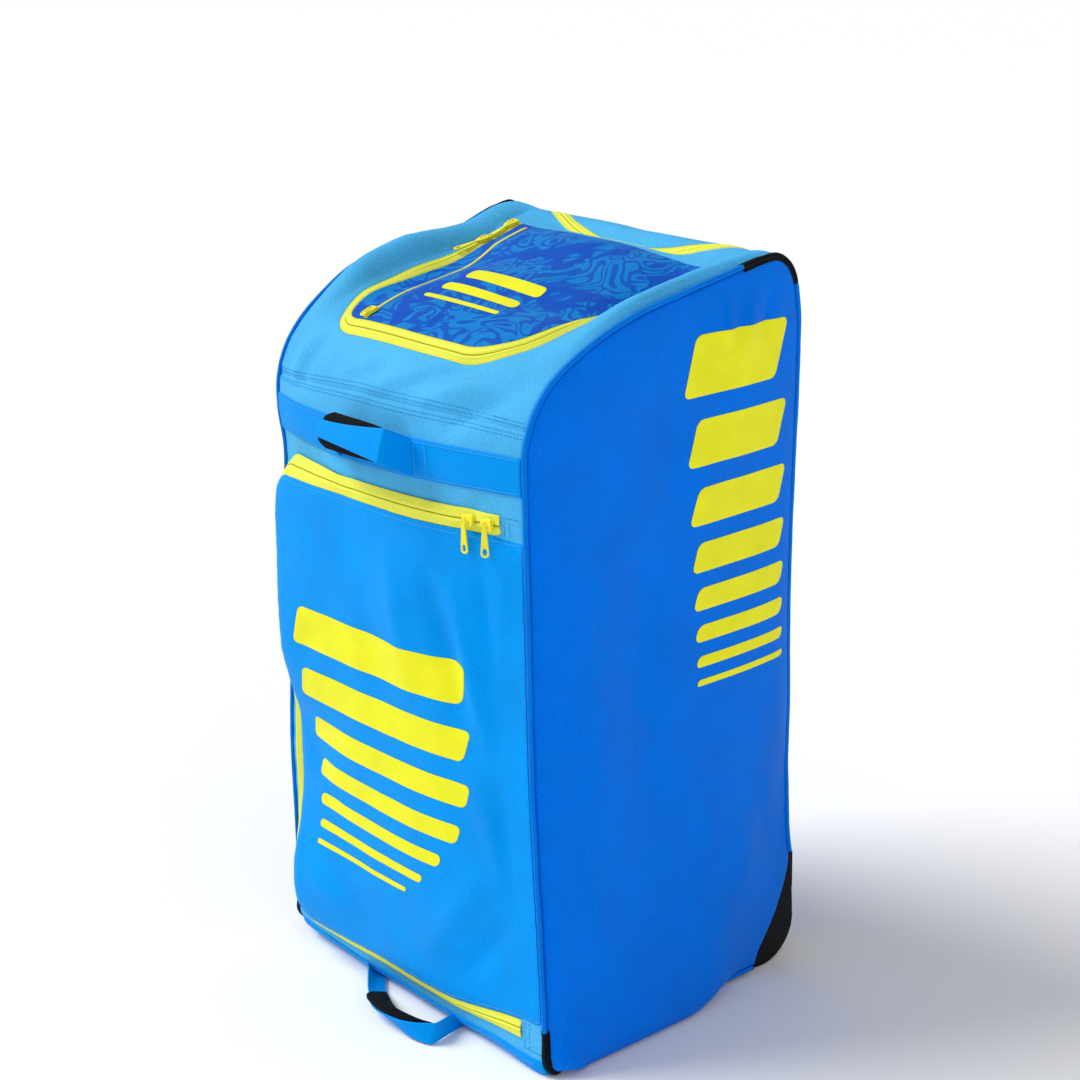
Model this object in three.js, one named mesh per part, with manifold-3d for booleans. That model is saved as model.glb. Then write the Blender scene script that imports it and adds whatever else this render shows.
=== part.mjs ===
// A tall wheeled kit bag of coated cloth, standing upright on its base and two rear wheels.
// Millimetres. X runs across the front, Y from the front (-) to the back (+), Z up from the floor.
import * as THREE from "three";
import { mergeVertices } from "three/addons/utils/BufferGeometryUtils.js";
import Module from "manifold-3d";

const wasm = await Module();
wasm.setup();

// Body: the seam line of each side panel is one closed outline of lines and arcs in the YZ plane.
const SEAM_WIDTH = 488; // between the two side seams
const SEAM_DEPTH = 436; // front seam to back seam
const SEAM_HEIGHT_FRONT = 760; // where the front starts to round over into the top
const SEAM_LIFT = 8; // seam height above the floor along the base
const FRONT_FOOT_RADIUS = 27.5;
const FRONT_TOP_RADIUS = 120;
const FRONT_TOP_TURN = 60; // degrees
const ROOF_RADIUS = 440;
const ROOF_TURN = 20; // degrees
const BACK_TOP_RADIUS = 40;
const BACK_FOOT_RADIUS = 57;
const BACK_SAG = 13; // how far the back seam bows in, half-way down
const BACK_STEPS = 7; // straight steps in which the back seam bows
const CLOTH = 2; // wall of coated cloth
const GAP = 0.3; // clearance between neighbouring pieces
const PIPING_RADIUS = 4.5;
const BASE_RAMP = 16; // width of the sloping edge of the base beside each side seam
const ARC_STEP = 20; // degrees between points round the seam's arcs
const WELD = 1e-4; // points nearer than this are one point

// Places along the seam outline, measured from the front end of the base.
const LOWER_BAND_AT = [18, 46]; // webbing band round the bottom edge of the front
const BASE_SEAM_AT = 32; // blue base meets the light blue front
const POCKET_BOTTOM_AT = 70;
const POCKET_TOP_AT = 680;
const UPPER_BAND_AT = [724, 772]; // webbing band across the front
const TOP_SEAM_AT = 803; // double-stitched seam below the top
const LID_FRONT_AT = 858; // outer edge of the lid zip
const LID_REAR_AT = 1170;
const REAR_SEAM_AT = 1330; // back edge of the top
const BACK_END_AT = 2218; // back wall meets the base

// Lid, rear arch and pocket
const LID_ZIP_HALF = 190; // half width of the lid with its zip
const LID_CORNER_RADIUS = 62;
const LID_CROWN = 15; // rise of the lid over its own zip
const ZIP_TAPE = 18;
const ZIP_WALL = 1.8;
const ZIP_SEAT = 0.8; // clearance under a zip tape laid over cloth
const LID_POCKET_ZIP_SEAT = 1.3;
const ARCH_HALF = 205;
const ARCH_REACH = 150;
const POCKET_LEFT = -212;
const POCKET_RIGHT = 236;
const POCKET_CORNER_RADIUS = 46;
const POCKET_ZIP_ENDS = { top: 210, bottom: 208 };
const LID_POCKET_ZIP = { width: 7, from: { along: 895, across: -92 }, to: { along: 1158, across: -150 } };

// How far the cloth stands out from the seam outline, mid-width, along the outline. Fullness is the
// power of the rise from each seam, ridge the height of the roll of cloth just inside each seam.
const GUSSET_FORM = [
  { along: 30, bulge: 9, fullness: 3, ridge: 0 },
  { along: 140, bulge: 11, fullness: 2.6, ridge: 0 },
  { along: 390, bulge: 13, fullness: 2.4, ridge: 0 },
  { along: 610, bulge: 20, fullness: 2.4, ridge: 0 },
  { along: 725, bulge: 28, fullness: 2.4, ridge: 0 },
  { along: 803, bulge: 31, fullness: 2.4, ridge: 0 },
  { along: 858, bulge: 24, fullness: 2.6, ridge: 0 },
  { along: 920, bulge: 8, fullness: 3.5, ridge: 3 },
  { along: 990, bulge: -8, fullness: 5, ridge: 7 },
  { along: 1070, bulge: -15, fullness: 6, ridge: 10 },
  { along: 1150, bulge: -16, fullness: 6, ridge: 9 },
  { along: 1210, bulge: -9, fullness: 5, ridge: 6 },
  { along: 1260, bulge: -3, fullness: 3.5, ridge: 2 },
  { along: 1300, bulge: 1, fullness: 2.6, ridge: 0 },
  { along: 1330, bulge: 3, fullness: 2.4, ridge: 0 },
  { along: 1600, bulge: 9, fullness: 2.4, ridge: 0 },
  { along: 2000, bulge: 6, fullness: 2.4, ridge: 0 },
  { along: 2150, bulge: 2, fullness: 2.4, ridge: 0 },
];
const RIDGE_FROM_SEAM = 22;
const RIDGE_HALF_WIDTH = 24;

// How far the pocket cover stands off the front wall, at its zipped left edge and mid-width.
const POCKET_FORM = [
  { along: 70, left: 12, middle: 13 },
  { along: 140, left: 15, middle: 20 },
  { along: 230, left: 8, middle: 22 },
  { along: 330, left: 7, middle: 23 },
  { along: 440, left: 14, middle: 23 },
  { along: 550, left: 22, middle: 22 },
  { along: 630, left: 24, middle: 19 },
  { along: 680, left: 19, middle: 15 },
];
const POCKET_HINGE_LIFT = 3;
const POCKET_MIDDLE = [0.35, 0.55]; // shares of the pocket's width between which it is fullest

// How far the side panels bulge at each height, and how far in from the seam they reach it.
const SIDE_FORM = [
  { height: 0, bulge: 20 },
  { height: 150, bulge: 25 },
  { height: 400, bulge: 23 },
  { height: 650, bulge: 17 },
  { height: 850, bulge: 11 },
  { height: 950, bulge: 8 },
];
const SIDE_RISE_WIDTH = 120;
const SIDE_RINGS = [1, 0.97, 0.9, 0.77, 0.5]; // rings of points, edge to middle
const SIDE_MIDDLE = { y: 0, z: 470 };

// Wheels and their corner housings
const WHEEL_CENTRE = { x: 205.4, y: 170, z: 57 };
const TYRE_RADIUS = 56.7;
const TYRE_WIDTH = 40;
const TREAD_WIDTH = 24;
const TYRE_SHOULDER = 6; // drop from the tread to the tyre's sides
const HUB_RADIUS = 38;
const HUB_WIDTH = 59;
const HUB_RIM_WIDTH = 36;
const HUB_WEB = 22;
const BOSS_RADIUS = { end: 12, root: 14 };
const AXLE_RADIUS = 5;
const WHEEL_SEGMENTS = 24;
const HOUSING_INNER = 172; // plate nearest to the middle of the bag
const HOUSING_OUTER = 238.8;
const HOUSING_WALL = 3;
const WELL_RADIUS = 62;
const WELL_TURN = [36, 235]; // degrees of the arch over the wheel
const HOUSING_TOP = 150;
const HOUSING_SHOULDER = 160; // front end of the plates' top edge
const HOUSING_FRONT = 105;
const HOUSING_LAP = 1; // how far the arch and the flange stop inside the plates' outer faces
const CHEEK_RADIUS = 53; // rounded corner of the plates, just inside the tyre
const SIDE_CUT_TOP = 146; // side panel corner cut away round the housing
const SIDE_CUT_FOOT = { y: 156, z: 28 };
const SIDE_CUT_BOW = { y: 7, z: -4 };
const SIDE_CUT_END = 150;

// Edge bindings: places along the outline and how far they reach over each panel
const FOOT_BINDING = { from: -16, to: 70, reach: 9, seat: 1 };
const CROWN_BINDING = { from: 1190, to: 1316, reach: 10, seat: 1.1 };
const BINDING_WALL = 1.8;
const BINDING_CLEAR = 1; // room between the piping and the fold of the tape
const BINDING_SHOULDER = 7; // from the seam to where each leg of the tape starts
const BINDING_TURNS = [100, 45, -10]; // degrees round the piping, from the top to the side

// Handles: a strap that stands off its band as a loop, with a padded lining behind it
const STRAP = 2.2;
const HANDLE_HALF = 88; // half the distance between the sewn ends
const HANDLE_SEWN = 26; // length of each sewn end
const HANDLE_FLAT_HALF = 60; // half the straight stretch of the loop
const HANDLE_BOW = 3;
const PAD = 4;
// Narrow is how far each edge of the strap draws in where it stands off, overhang how far the padded
// lining shows beyond it.
const UPPER_HANDLE = { standoff: 36, toward: { y: -0.92, z: 0.39 }, narrow: 6, overhang: 9 };
const LOWER_HANDLE = { standoff: 52, toward: { y: -1, z: -0.03 }, narrow: 0, overhang: 5 };

// Zip sliders and pulls
const SLIDER = { length: 12, width: 9, height: 5, nose: 6.5, shoulder: 1.8 };
const PULL = { length: 38, width: 8, rootWidth: 4.8, thickness: 2, hole: 2.2, holeFromEnd: 5 };
const POCKET_SLIDERS_AT = [166, 195]; // across the front
// Lid sliders: places along the outline, and room under the slider and under its pull
const LID_SLIDERS = [
  { along: 1100, under: 0.6, underPull: 1.8 },
  { along: 1156, under: 1.2, underPull: 2.2 },
];
const LID_POCKET_SLIDER_SHARE = 0.03; // share of that zip's length
const SLIDER_CLEAR = { pocket: 1.1, lidPocket: 1.5 }; // room over each zip tape
const POCKET_PULL_CLEAR = 1.4; // room under each pull

const SURFACES = {
  blue: { color: 0x0b78e3, roughness: 0.75 },
  pocketBlue: { color: 0x0a84e8, roughness: 0.75 },
  lightBlue: { color: 0x58b9f2, roughness: 0.75 },
  marbled: { color: 0x0a66d4, roughness: 0.75 },
  zipYellow: { color: 0xf1f02c, roughness: 0.6 },
  pullYellow: { color: 0xf1f02c, roughness: 0.4 },
  blackCloth: { color: 0x0b0d10, roughness: 0.88 },
  blackPlastic: { color: 0x0b0d10, roughness: 0.55 },
  rubber: { color: 0x0b0d10, roughness: 0.8 },
  hub: { color: 0x2a2d31, roughness: 0.5 },
  steel: { color: 0xa9adb2, roughness: 0.35, metalness: 1 },
};

const SEAM_HALF = SEAM_WIDTH / 2;
const FRONT_Y = -SEAM_DEPTH / 2;
const EDGE = SEAM_HALF - PIPING_RADIUS - GAP; // cloth stops short of the piping
const BAND_TOP = GAP + STRAP;

const { lerp, clamp, smoothstep, euclideanModulo, degToRad } = THREE.MathUtils;

// Values along a table's column, eased from row to row.
function tableAt(rows, key, column, at) {
  const last = rows.at(-1);
  if (at <= rows[0][key]) return rows[0][column];
  if (at >= last[key]) return last[column];
  const i = rows.findIndex((row) => row[key] > at) - 1;
  const t = smoothstep(at, rows[i][key], rows[i + 1][key]);
  return lerp(rows[i][column], rows[i + 1][column], t);
}

const spread = (from, to, count) => Array.from({ length: count + 1 }, (_, i) => lerp(from, to, i / count));

// Seam outline

// The outline's segments, each with its start point, heading and length.
function seamSegments() {
  const roofHeading = 90 - FRONT_TOP_TURN - ROOF_TURN;
  const steps = [
    { radius: FRONT_FOOT_RADIUS, turn: 90 },
    { run: SEAM_HEIGHT_FRONT - SEAM_LIFT - FRONT_FOOT_RADIUS },
    { radius: FRONT_TOP_RADIUS, turn: FRONT_TOP_TURN },
    { radius: ROOF_RADIUS, turn: ROOF_TURN },
    { toBack: true },
    { radius: BACK_TOP_RADIUS, turn: roofHeading + 90 },
    { toFoot: true },
    { radius: BACK_FOOT_RADIUS, turn: 90 },
    { run: SEAM_DEPTH - FRONT_FOOT_RADIUS - BACK_FOOT_RADIUS },
  ];
  let y = FRONT_Y + FRONT_FOOT_RADIUS;
  let z = SEAM_LIFT;
  let angle = Math.PI;
  let start = 0;
  return steps.map((step) => {
    let length = step.run;
    if (step.toBack) {
      const corner = BACK_TOP_RADIUS * (1 + Math.sin(angle));
      length = (SEAM_DEPTH / 2 - corner - y) / Math.cos(angle);
    }
    if (step.toFoot) length = z - SEAM_LIFT - BACK_FOOT_RADIUS;
    if (step.radius) length = step.radius * degToRad(step.turn);
    const segment = { radius: step.radius, sagging: step.toFoot, start, length, y, z, angle };
    const end = pointOn(segment, length);
    ({ y, z, angle } = end);
    start += length;
    return segment;
  });
}

function pointOn({ y, z, angle, radius }, run) {
  if (!radius) return { y: y + run * Math.cos(angle), z: z + run * Math.sin(angle), angle };
  const end = angle - run / radius;
  return {
    y: y + radius * (Math.sin(angle) - Math.sin(end)),
    z: z + radius * (Math.cos(end) - Math.cos(angle)),
    angle: end,
  };
}

const SEAM = seamSegments();
const [FOOT_ARC, FRONT_RUN] = SEAM;
const [BACK_RUN, HEEL_ARC, BASE_RUN] = SEAM.slice(-3);
const SEAM_LENGTH = BASE_RUN.start + BASE_RUN.length;

// Point of the seam outline with its outward normal.
function seamAt(along) {
  const at = euclideanModulo(along, SEAM_LENGTH);
  const segment = SEAM.findLast((piece) => piece.start <= at);
  const { y, z, angle } = pointOn(segment, at - segment.start);
  const share = (at - segment.start) / segment.length;
  const sag = segment.sagging ? BACK_SAG * Math.sin(Math.PI * share) ** 2 : 0;
  return { y: y - sag, z, ny: -Math.sin(angle), nz: Math.cos(angle) };
}

function insetPoint(along, inset) {
  const { y, z, ny, nz } = seamAt(along);
  return { y: y - ny * inset, z: z - nz * inset };
}

// Places along the outline: the ends of straight runs, and steps round the arcs and down the back.
function seamPlaces(from, to) {
  const places = SEAM.flatMap(({ start, length, radius, sagging }) => {
    const straight = sagging ? BACK_STEPS : 1;
    const count = radius ? Math.max(3, Math.round(length / radius / degToRad(ARC_STEP))) : straight;
    return spread(start, start + length, count).slice(0, -1);
  });
  return [from, ...places.filter((at) => at > from && at < to), to];
}

// Form of the cloth round the front, top, back and base

// Share of the flat base in the form: all of it on the base, none a little way up the front and back.
function baseShare(along) {
  const at = euclideanModulo(along, SEAM_LENGTH);
  if (at >= BASE_RUN.start) return 1;
  return 1 - smoothstep(at, 0, FOOT_ARC.length) + smoothstep(at, HEEL_ARC.start, BASE_RUN.start);
}

function lidCrown(along, across) {
  const inner = LID_ZIP_HALF - ZIP_TAPE;
  const t = (along - LID_FRONT_AT - ZIP_TAPE) / (LID_REAR_AT - LID_FRONT_AT - ZIP_TAPE);
  if (t <= 0 || t >= 1 || Math.abs(across) >= inner) return 0;
  return LID_CROWN * Math.sin(Math.PI * t) * (1 - (across / inner) ** 2);
}

// Height of the cloth over the seam outline.
function gussetRise(along, across) {
  const fromSeam = SEAM_HALF - Math.abs(across);
  const share = Math.abs(across) / SEAM_HALF;
  const bulge = tableAt(GUSSET_FORM, "along", "bulge", along);
  const fullness = tableAt(GUSSET_FORM, "along", "fullness", along);
  const ridge = tableAt(GUSSET_FORM, "along", "ridge", along);
  const roll = Math.max(0, 1 - ((fromSeam - RIDGE_FROM_SEAM) / RIDGE_HALF_WIDTH) ** 2);
  const cloth = bulge * (1 - share ** fullness) + ridge * roll + lidCrown(along, across);
  const base = SEAM_LIFT * Math.min(1, fromSeam / BASE_RAMP);
  return lerp(cloth, base, baseShare(along));
}

function gussetPoint(along, across, lift = 0) {
  const { y, z, ny, nz } = seamAt(along);
  const rise = gussetRise(along, across) + lift;
  return new THREE.Vector3(across, y + ny * rise, z + nz * rise);
}

// Height of the pocket cover over the front wall.
function pocketLift(along, across) {
  const left = tableAt(POCKET_FORM, "along", "left", along);
  const middle = tableAt(POCKET_FORM, "along", "middle", along);
  const share = clamp((across - POCKET_LEFT) / (POCKET_RIGHT - POCKET_LEFT), 0, 1);
  const rising = lerp(left, middle, smoothstep(share, 0, POCKET_MIDDLE[0]));
  return lerp(rising, POCKET_HINGE_LIFT, smoothstep(share, POCKET_MIDDLE[1], 1));
}

// Closed solids

function geometryOf(points, triangles) {
  const geometry = new THREE.BufferGeometry();
  const coordinates = points.flatMap((point) => point.toArray());
  geometry.setAttribute("position", new THREE.Float32BufferAttribute(coordinates, 3));
  let volume = 0;
  for (const [a, b, c] of triangles) {
    volume += points[a].dot(points[b].clone().cross(points[c]));
  }
  const outward = volume < 0 ? triangles.map(([a, b, c]) => [a, c, b]) : triangles;
  geometry.setIndex(outward.flat());
  geometry.computeVertexNormals();
  return geometry;
}

const quad = (a, b, c, d) => [
  [a, b, c],
  [a, c, d],
];

// A wall between an outer and an inner grid of points, closed round its four edges.
function wall(outer, inner) {
  const rows = outer.length;
  const columns = outer[0].length;
  const points = [...outer.flat(), ...inner.flat()];
  const out = (i, j) => i * columns + j;
  const into = (i, j) => rows * columns + out(i, j);
  const triangles = [];
  for (let i = 0; i + 1 < rows; i++) {
    for (let j = 0; j + 1 < columns; j++) {
      triangles.push(...quad(out(i, j), out(i, j + 1), out(i + 1, j + 1), out(i + 1, j)));
      triangles.push(...quad(into(i, j), into(i + 1, j), into(i + 1, j + 1), into(i, j + 1)));
    }
  }
  for (let j = 0; j + 1 < columns; j++) {
    const far = rows - 1;
    triangles.push(...quad(out(0, j), into(0, j), into(0, j + 1), out(0, j + 1)));
    triangles.push(...quad(out(far, j), out(far, j + 1), into(far, j + 1), into(far, j)));
  }
  for (let i = 0; i + 1 < rows; i++) {
    const far = columns - 1;
    triangles.push(...quad(out(i, 0), out(i + 1, 0), into(i + 1, 0), into(i, 0)));
    triangles.push(...quad(out(i, far), into(i, far), into(i + 1, far), out(i + 1, far)));
  }
  return geometryOf(points, triangles);
}

// A skin over a row of closed rings of points, closed at each end by a fan to a middle point.
function ringSkin(rings, firstMiddle, lastMiddle) {
  const count = rings[0].length;
  const points = [...rings.flat(), firstMiddle, lastMiddle];
  const first = rings.length * count;
  const lastRing = first - count;
  const triangles = [];
  for (let k = 0; k < count; k++) {
    const next = (k + 1) % count;
    for (let ring = 0; ring < lastRing; ring += count) {
      triangles.push(...quad(ring + k, ring + next, ring + count + next, ring + count + k));
    }
    triangles.push([first, next, k], [first + 1, lastRing + k, lastRing + next]);
  }
  return geometryOf(points, triangles);
}

function manifoldOf(geometry) {
  const bare = new THREE.BufferGeometry();
  bare.setAttribute("position", geometry.getAttribute("position"));
  bare.setIndex(geometry.getIndex());
  const merged = mergeVertices(bare, WELD);
  const vertProperties = merged.getAttribute("position").array;
  const triVerts = new Uint32Array(merged.getIndex().array);
  return new wasm.Manifold(new wasm.Mesh({ numProp: 3, vertProperties, triVerts }));
}

function geometryFrom(solid) {
  const { vertProperties, triVerts } = solid.getMesh();
  const geometry = new THREE.BufferGeometry();
  geometry.setAttribute("position", new THREE.Float32BufferAttribute(vertProperties, 3));
  geometry.setIndex([...triVerts]);
  return geometry;
}

const cut = (geometry, tools) =>
  geometryFrom(tools.reduce((solid, tool) => solid.subtract(manifoldOf(tool)), manifoldOf(geometry)));

const join = (geometries) =>
  geometryFrom(geometries.map(manifoldOf).reduce((solid, next) => solid.add(next)));

function boxBetween(low, high) {
  const size = high.clone().sub(low);
  const middle = low.clone().add(high).multiplyScalar(0.5);
  return new THREE.BoxGeometry(size.x, size.y, size.z).translate(middle.x, middle.y, middle.z);
}

// A shape drawn in (y, z), pushed along X between two places.
function acrossExtrusion(shape, fromX, toX, curveSegments) {
  const depth = toX - fromX;
  const geometry = new THREE.ExtrudeGeometry(shape, { depth, bevelEnabled: false, curveSegments });
  const axes = new THREE.Matrix4().makeBasis(
    new THREE.Vector3(0, 1, 0),
    new THREE.Vector3(0, 0, 1),
    new THREE.Vector3(1, 0, 0),
  );
  return geometry.applyMatrix4(axes).translate(fromX, 0, 0);
}

const bag = new THREE.Group();
bag.name = "kit_bag";

function add(name, geometry, surface) {
  const mesh = new THREE.Mesh(geometry, new THREE.MeshStandardMaterial(SURFACES[surface]));
  mesh.name = name;
  bag.add(mesh);
  return mesh;
}

// Cloth panels of the front, top, back and base

// Patch of cloth: one column of points for each place across, over the places along that it is given.
function patch(columns, alongsOf, liftOf = () => 0, thickness = CLOTH) {
  const grid = (depth) =>
    columns.map((across) =>
      alongsOf(across).map((along) => gussetPoint(along, across, liftOf(along, across) - depth)),
    );
  return wall(grid(0), grid(thickness));
}

// Right half of a row of columns, mirrored to the left.
const mirrored = (rightSide) => [...rightSide.slice(1).reverse().map((across) => -across), ...rightSide];

const FLAT_EDGE = SEAM_HALF - BASE_RAMP;
const BESIDE_HOUSING = (HOUSING_INNER + FLAT_EDGE) / 2;
const COLUMNS = mirrored([...spread(0, HOUSING_INNER, 4), BESIDE_HOUSING, FLAT_EDGE, EDGE]);

function frontPanel() {
  const overBand = spread(UPPER_BAND_AT[1], TOP_SEAM_AT, 2).slice(1);
  const alongs = [
    BASE_SEAM_AT + GAP,
    ...spread(BASE_SEAM_AT, LOWER_BAND_AT[1], 2).slice(1),
    ...spread(FRONT_RUN.start, UPPER_BAND_AT[0], 6).slice(0, -1),
    ...spread(...UPPER_BAND_AT, 2),
    ...overBand,
  ];
  return patch(COLUMNS, () => alongs);
}

function basePanel() {
  const alongs = [
    ...spread(BACK_END_AT + GAP, BASE_RUN.start, 2),
    0,
    ...spread(LOWER_BAND_AT[0], BASE_SEAM_AT, 2),
  ];
  return cut(patch(COLUMNS, () => alongs), housingNotches());
}

function backPanel() {
  const alongs = [
    ...spread(REAR_SEAM_AT + GAP, HEEL_ARC.start, 5),
    ...spread(HEEL_ARC.start, BACK_END_AT, 3).slice(1),
  ];
  const columns = mirrored([0, HOUSING_INNER / 2, HOUSING_INNER, BESIDE_HOUSING, EDGE]);
  return cut(patch(columns, () => alongs), housingNotches());
}

// Room that the back and the base leave for the wheel housings.
function housingNotches() {
  const clear = 1;
  return [1, -1].map((side) => {
    const [inner, outer] = [side * (HOUSING_INNER - clear), side * SEAM_WIDTH].sort((a, b) => a - b);
    const low = new THREE.Vector3(inner, HOUSING_FRONT - clear, -SEAM_LIFT);
    const high = new THREE.Vector3(outer, SEAM_DEPTH, HOUSING_TOP + clear);
    return boxBetween(low, high);
  });
}

// Right half of a U round the lid, from its back end to the middle of the front: at each station a
// place on the rounded inner edge and the place where the same direction meets the outer edge.
function lidStations(inner, outer) {
  const centre = { along: inner.front + inner.radius, across: inner.half - inner.radius };
  const toFront = centre.along - outer.front;
  const toSide = outer.half - centre.across;
  const stations = spread(LID_REAR_AT, centre.along, 6).map((along) => [
    { along, across: inner.half },
    { along, across: outer.half },
  ]);
  const middle = Math.atan2(toFront, toSide);
  const turns = [...spread(0, middle, 3).slice(1), ...spread(middle, Math.PI / 2, 3).slice(1)];
  for (const turn of turns) {
    const square = Math.min(toSide / Math.cos(turn), toFront / Math.sin(turn));
    stations.push(
      [inner.radius, outer.radius ?? square].map((reach) => ({
        along: centre.along - reach * Math.sin(turn),
        across: centre.across + reach * Math.cos(turn),
      })),
    );
  }
  for (const across of spread(centre.across, 0, 4).slice(1)) {
    stations.push([
      { along: inner.front, across },
      { along: outer.front, across },
    ]);
  }
  return stations;
}

// Wall over a whole U of stations, the right half and its mirror image.
function mirroredWall(stations, acrossSteps) {
  const leftSide = stations.slice(0, -1).reverse().map((pair) =>
    pair.map(({ along, across }) => ({ along, across: -across })),
  );
  const grid = (depth) =>
    [...stations, ...leftSide].map(([inner, outer]) =>
      spread(0, 1, acrossSteps).map((t) =>
        gussetPoint(lerp(inner.along, outer.along, t), lerp(inner.across, outer.across, t), -depth),
      ),
    );
  return wall(grid(0), grid(CLOTH));
}

function topPanel() {
  const inner = { half: LID_ZIP_HALF + GAP, front: LID_FRONT_AT - GAP, radius: LID_CORNER_RADIUS + GAP };
  return mirroredWall(lidStations(inner, { half: EDGE, front: TOP_SEAM_AT + GAP }), 4);
}

function lidZip() {
  const inner = {
    half: LID_ZIP_HALF - ZIP_TAPE,
    front: LID_FRONT_AT + ZIP_TAPE,
    radius: LID_CORNER_RADIUS - ZIP_TAPE,
  };
  const outer = { half: LID_ZIP_HALF, front: LID_FRONT_AT, radius: LID_CORNER_RADIUS };
  return mirroredWall(lidStations(inner, outer), 2);
}

function lidFlap() {
  const clear = 2 * GAP;
  const half = LID_ZIP_HALF - ZIP_TAPE - clear;
  const radius = LID_CORNER_RADIUS - ZIP_TAPE - clear;
  const front = LID_FRONT_AT + ZIP_TAPE + clear;
  const corner = half - radius;
  const turns = spread(0, 90, 4).slice(1).map((turn) => corner + radius * Math.sin(degToRad(turn)));
  const columns = mirrored([...spread(0, corner, 4), ...turns]);
  const frontAt = (across) => {
    const over = Math.max(0, Math.abs(across) - corner);
    return front + radius - Math.sqrt(Math.max(0, radius ** 2 - over ** 2));
  };
  return patch(columns, (across) => spread(frontAt(across), LID_REAR_AT, 8));
}

// Half ellipse of the rear arch, inset from its outer edge.
function archAlong(across, inset) {
  const share = Math.min(1, Math.abs(across) / (ARCH_HALF - inset));
  return REAR_SEAM_AT - (ARCH_REACH - inset) * Math.sqrt(1 - share ** 2);
}

const ARCH_TURNS = spread(-90, 90, 16).map((turn) => degToRad(turn));
const archColumns = (inset, turns) => turns.map((turn) => (ARCH_HALF - inset) * Math.sin(turn));

function rearDeck() {
  const strip = [(ARCH_HALF + EDGE) / 2, EDGE];
  const columns = [...strip.map((across) => -across).reverse(), ...archColumns(0, ARCH_TURNS), ...strip];
  return patch(columns, (across) => spread(LID_REAR_AT + GAP, archAlong(across, 0), 4));
}

function rearZip() {
  const grid = (depth) =>
    ARCH_TURNS.map((turn) =>
      spread(GAP, ZIP_TAPE - GAP, 2).map((inset) => {
        const across = (ARCH_HALF - inset) * Math.sin(turn);
        const along = REAR_SEAM_AT - (ARCH_REACH - inset) * Math.cos(turn);
        return gussetPoint(along, across, -depth);
      }),
    );
  return wall(grid(0), grid(CLOTH));
}

function rearFlap() {
  const columns = archColumns(ZIP_TAPE, ARCH_TURNS.slice(1, -1));
  return patch(columns, (across) => spread(archAlong(across, ZIP_TAPE), REAR_SEAM_AT, 4));
}

// Thin zip laid along a straight line on the lid.
function lidPocketZip() {
  const { width, from, to } = LID_POCKET_ZIP;
  const grid = (lift) =>
    spread(0, 1, 10).map((t) =>
      [-width / 2, width / 2].map((side) =>
        gussetPoint(lerp(from.along, to.along, t), lerp(from.across, to.across, t) + side, lift),
      ),
    );
  return wall(grid(LID_POCKET_ZIP_SEAT + ZIP_WALL), grid(LID_POCKET_ZIP_SEAT));
}

// Pocket

function pocketPanel() {
  const radius = POCKET_CORNER_RADIUS;
  const corner = POCKET_LEFT + radius;
  const turns = spread(-90, 0, 4).map((turn) => corner + radius * Math.sin(degToRad(turn)));
  const columns = [...turns, ...spread(corner, POCKET_RIGHT, 8).slice(1)];
  const roundedAway = (across) => {
    const over = Math.max(0, corner - across);
    return radius - Math.sqrt(Math.max(0, radius ** 2 - over ** 2));
  };
  const alongsOf = (across) => {
    const away = roundedAway(across);
    return spread(POCKET_BOTTOM_AT + away, POCKET_TOP_AT - away, 12);
  };
  return patch(columns, alongsOf, pocketLift);
}

// Places on the pocket's zipped edge: along the top to the left, down the left side, back along the
// bottom, each with the direction out of the pocket.
function pocketEdge() {
  const radius = POCKET_CORNER_RADIUS;
  const middle = POCKET_LEFT + radius;
  const places = [];
  for (const across of spread(POCKET_ZIP_ENDS.top, middle, 9)) {
    places.push({ along: POCKET_TOP_AT, across, out: { along: 1, across: 0 } });
  }
  const turnAt = (centreAlong, turn) => {
    const out = { along: Math.cos(degToRad(turn)), across: -Math.sin(degToRad(turn)) };
    return { along: centreAlong + radius * out.along, across: middle + radius * out.across, out };
  };
  places.push(...spread(0, 90, 4).slice(1).map((turn) => turnAt(POCKET_TOP_AT - radius, turn)));
  for (const along of spread(POCKET_TOP_AT - radius, POCKET_BOTTOM_AT + radius, 10).slice(1)) {
    places.push({ along, across: POCKET_LEFT, out: { along: 0, across: -1 } });
  }
  places.push(...spread(90, 180, 4).slice(1).map((turn) => turnAt(POCKET_BOTTOM_AT + radius, turn)));
  for (const across of spread(middle, POCKET_ZIP_ENDS.bottom, 9).slice(1)) {
    places.push({ along: POCKET_BOTTOM_AT, across, out: { along: -1, across: 0 } });
  }
  return places;
}

// Point on the zip tape that slopes from the pocket's edge down to the front wall.
function pocketZipPoint({ along, across, out }, share, depth) {
  const reach = lerp(GAP, ZIP_TAPE, share);
  const lift = lerp(pocketLift(along, across), ZIP_SEAT + ZIP_WALL, share);
  return gussetPoint(along + out.along * reach, across + out.across * reach, lift - depth);
}

function pocketZip() {
  const grid = (depth) =>
    pocketEdge().map((place) => spread(0, 1, 2).map((share) => pocketZipPoint(place, share, depth)));
  return wall(grid(0), grid(ZIP_WALL));
}

// Side panels, piping and edge bindings

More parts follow.
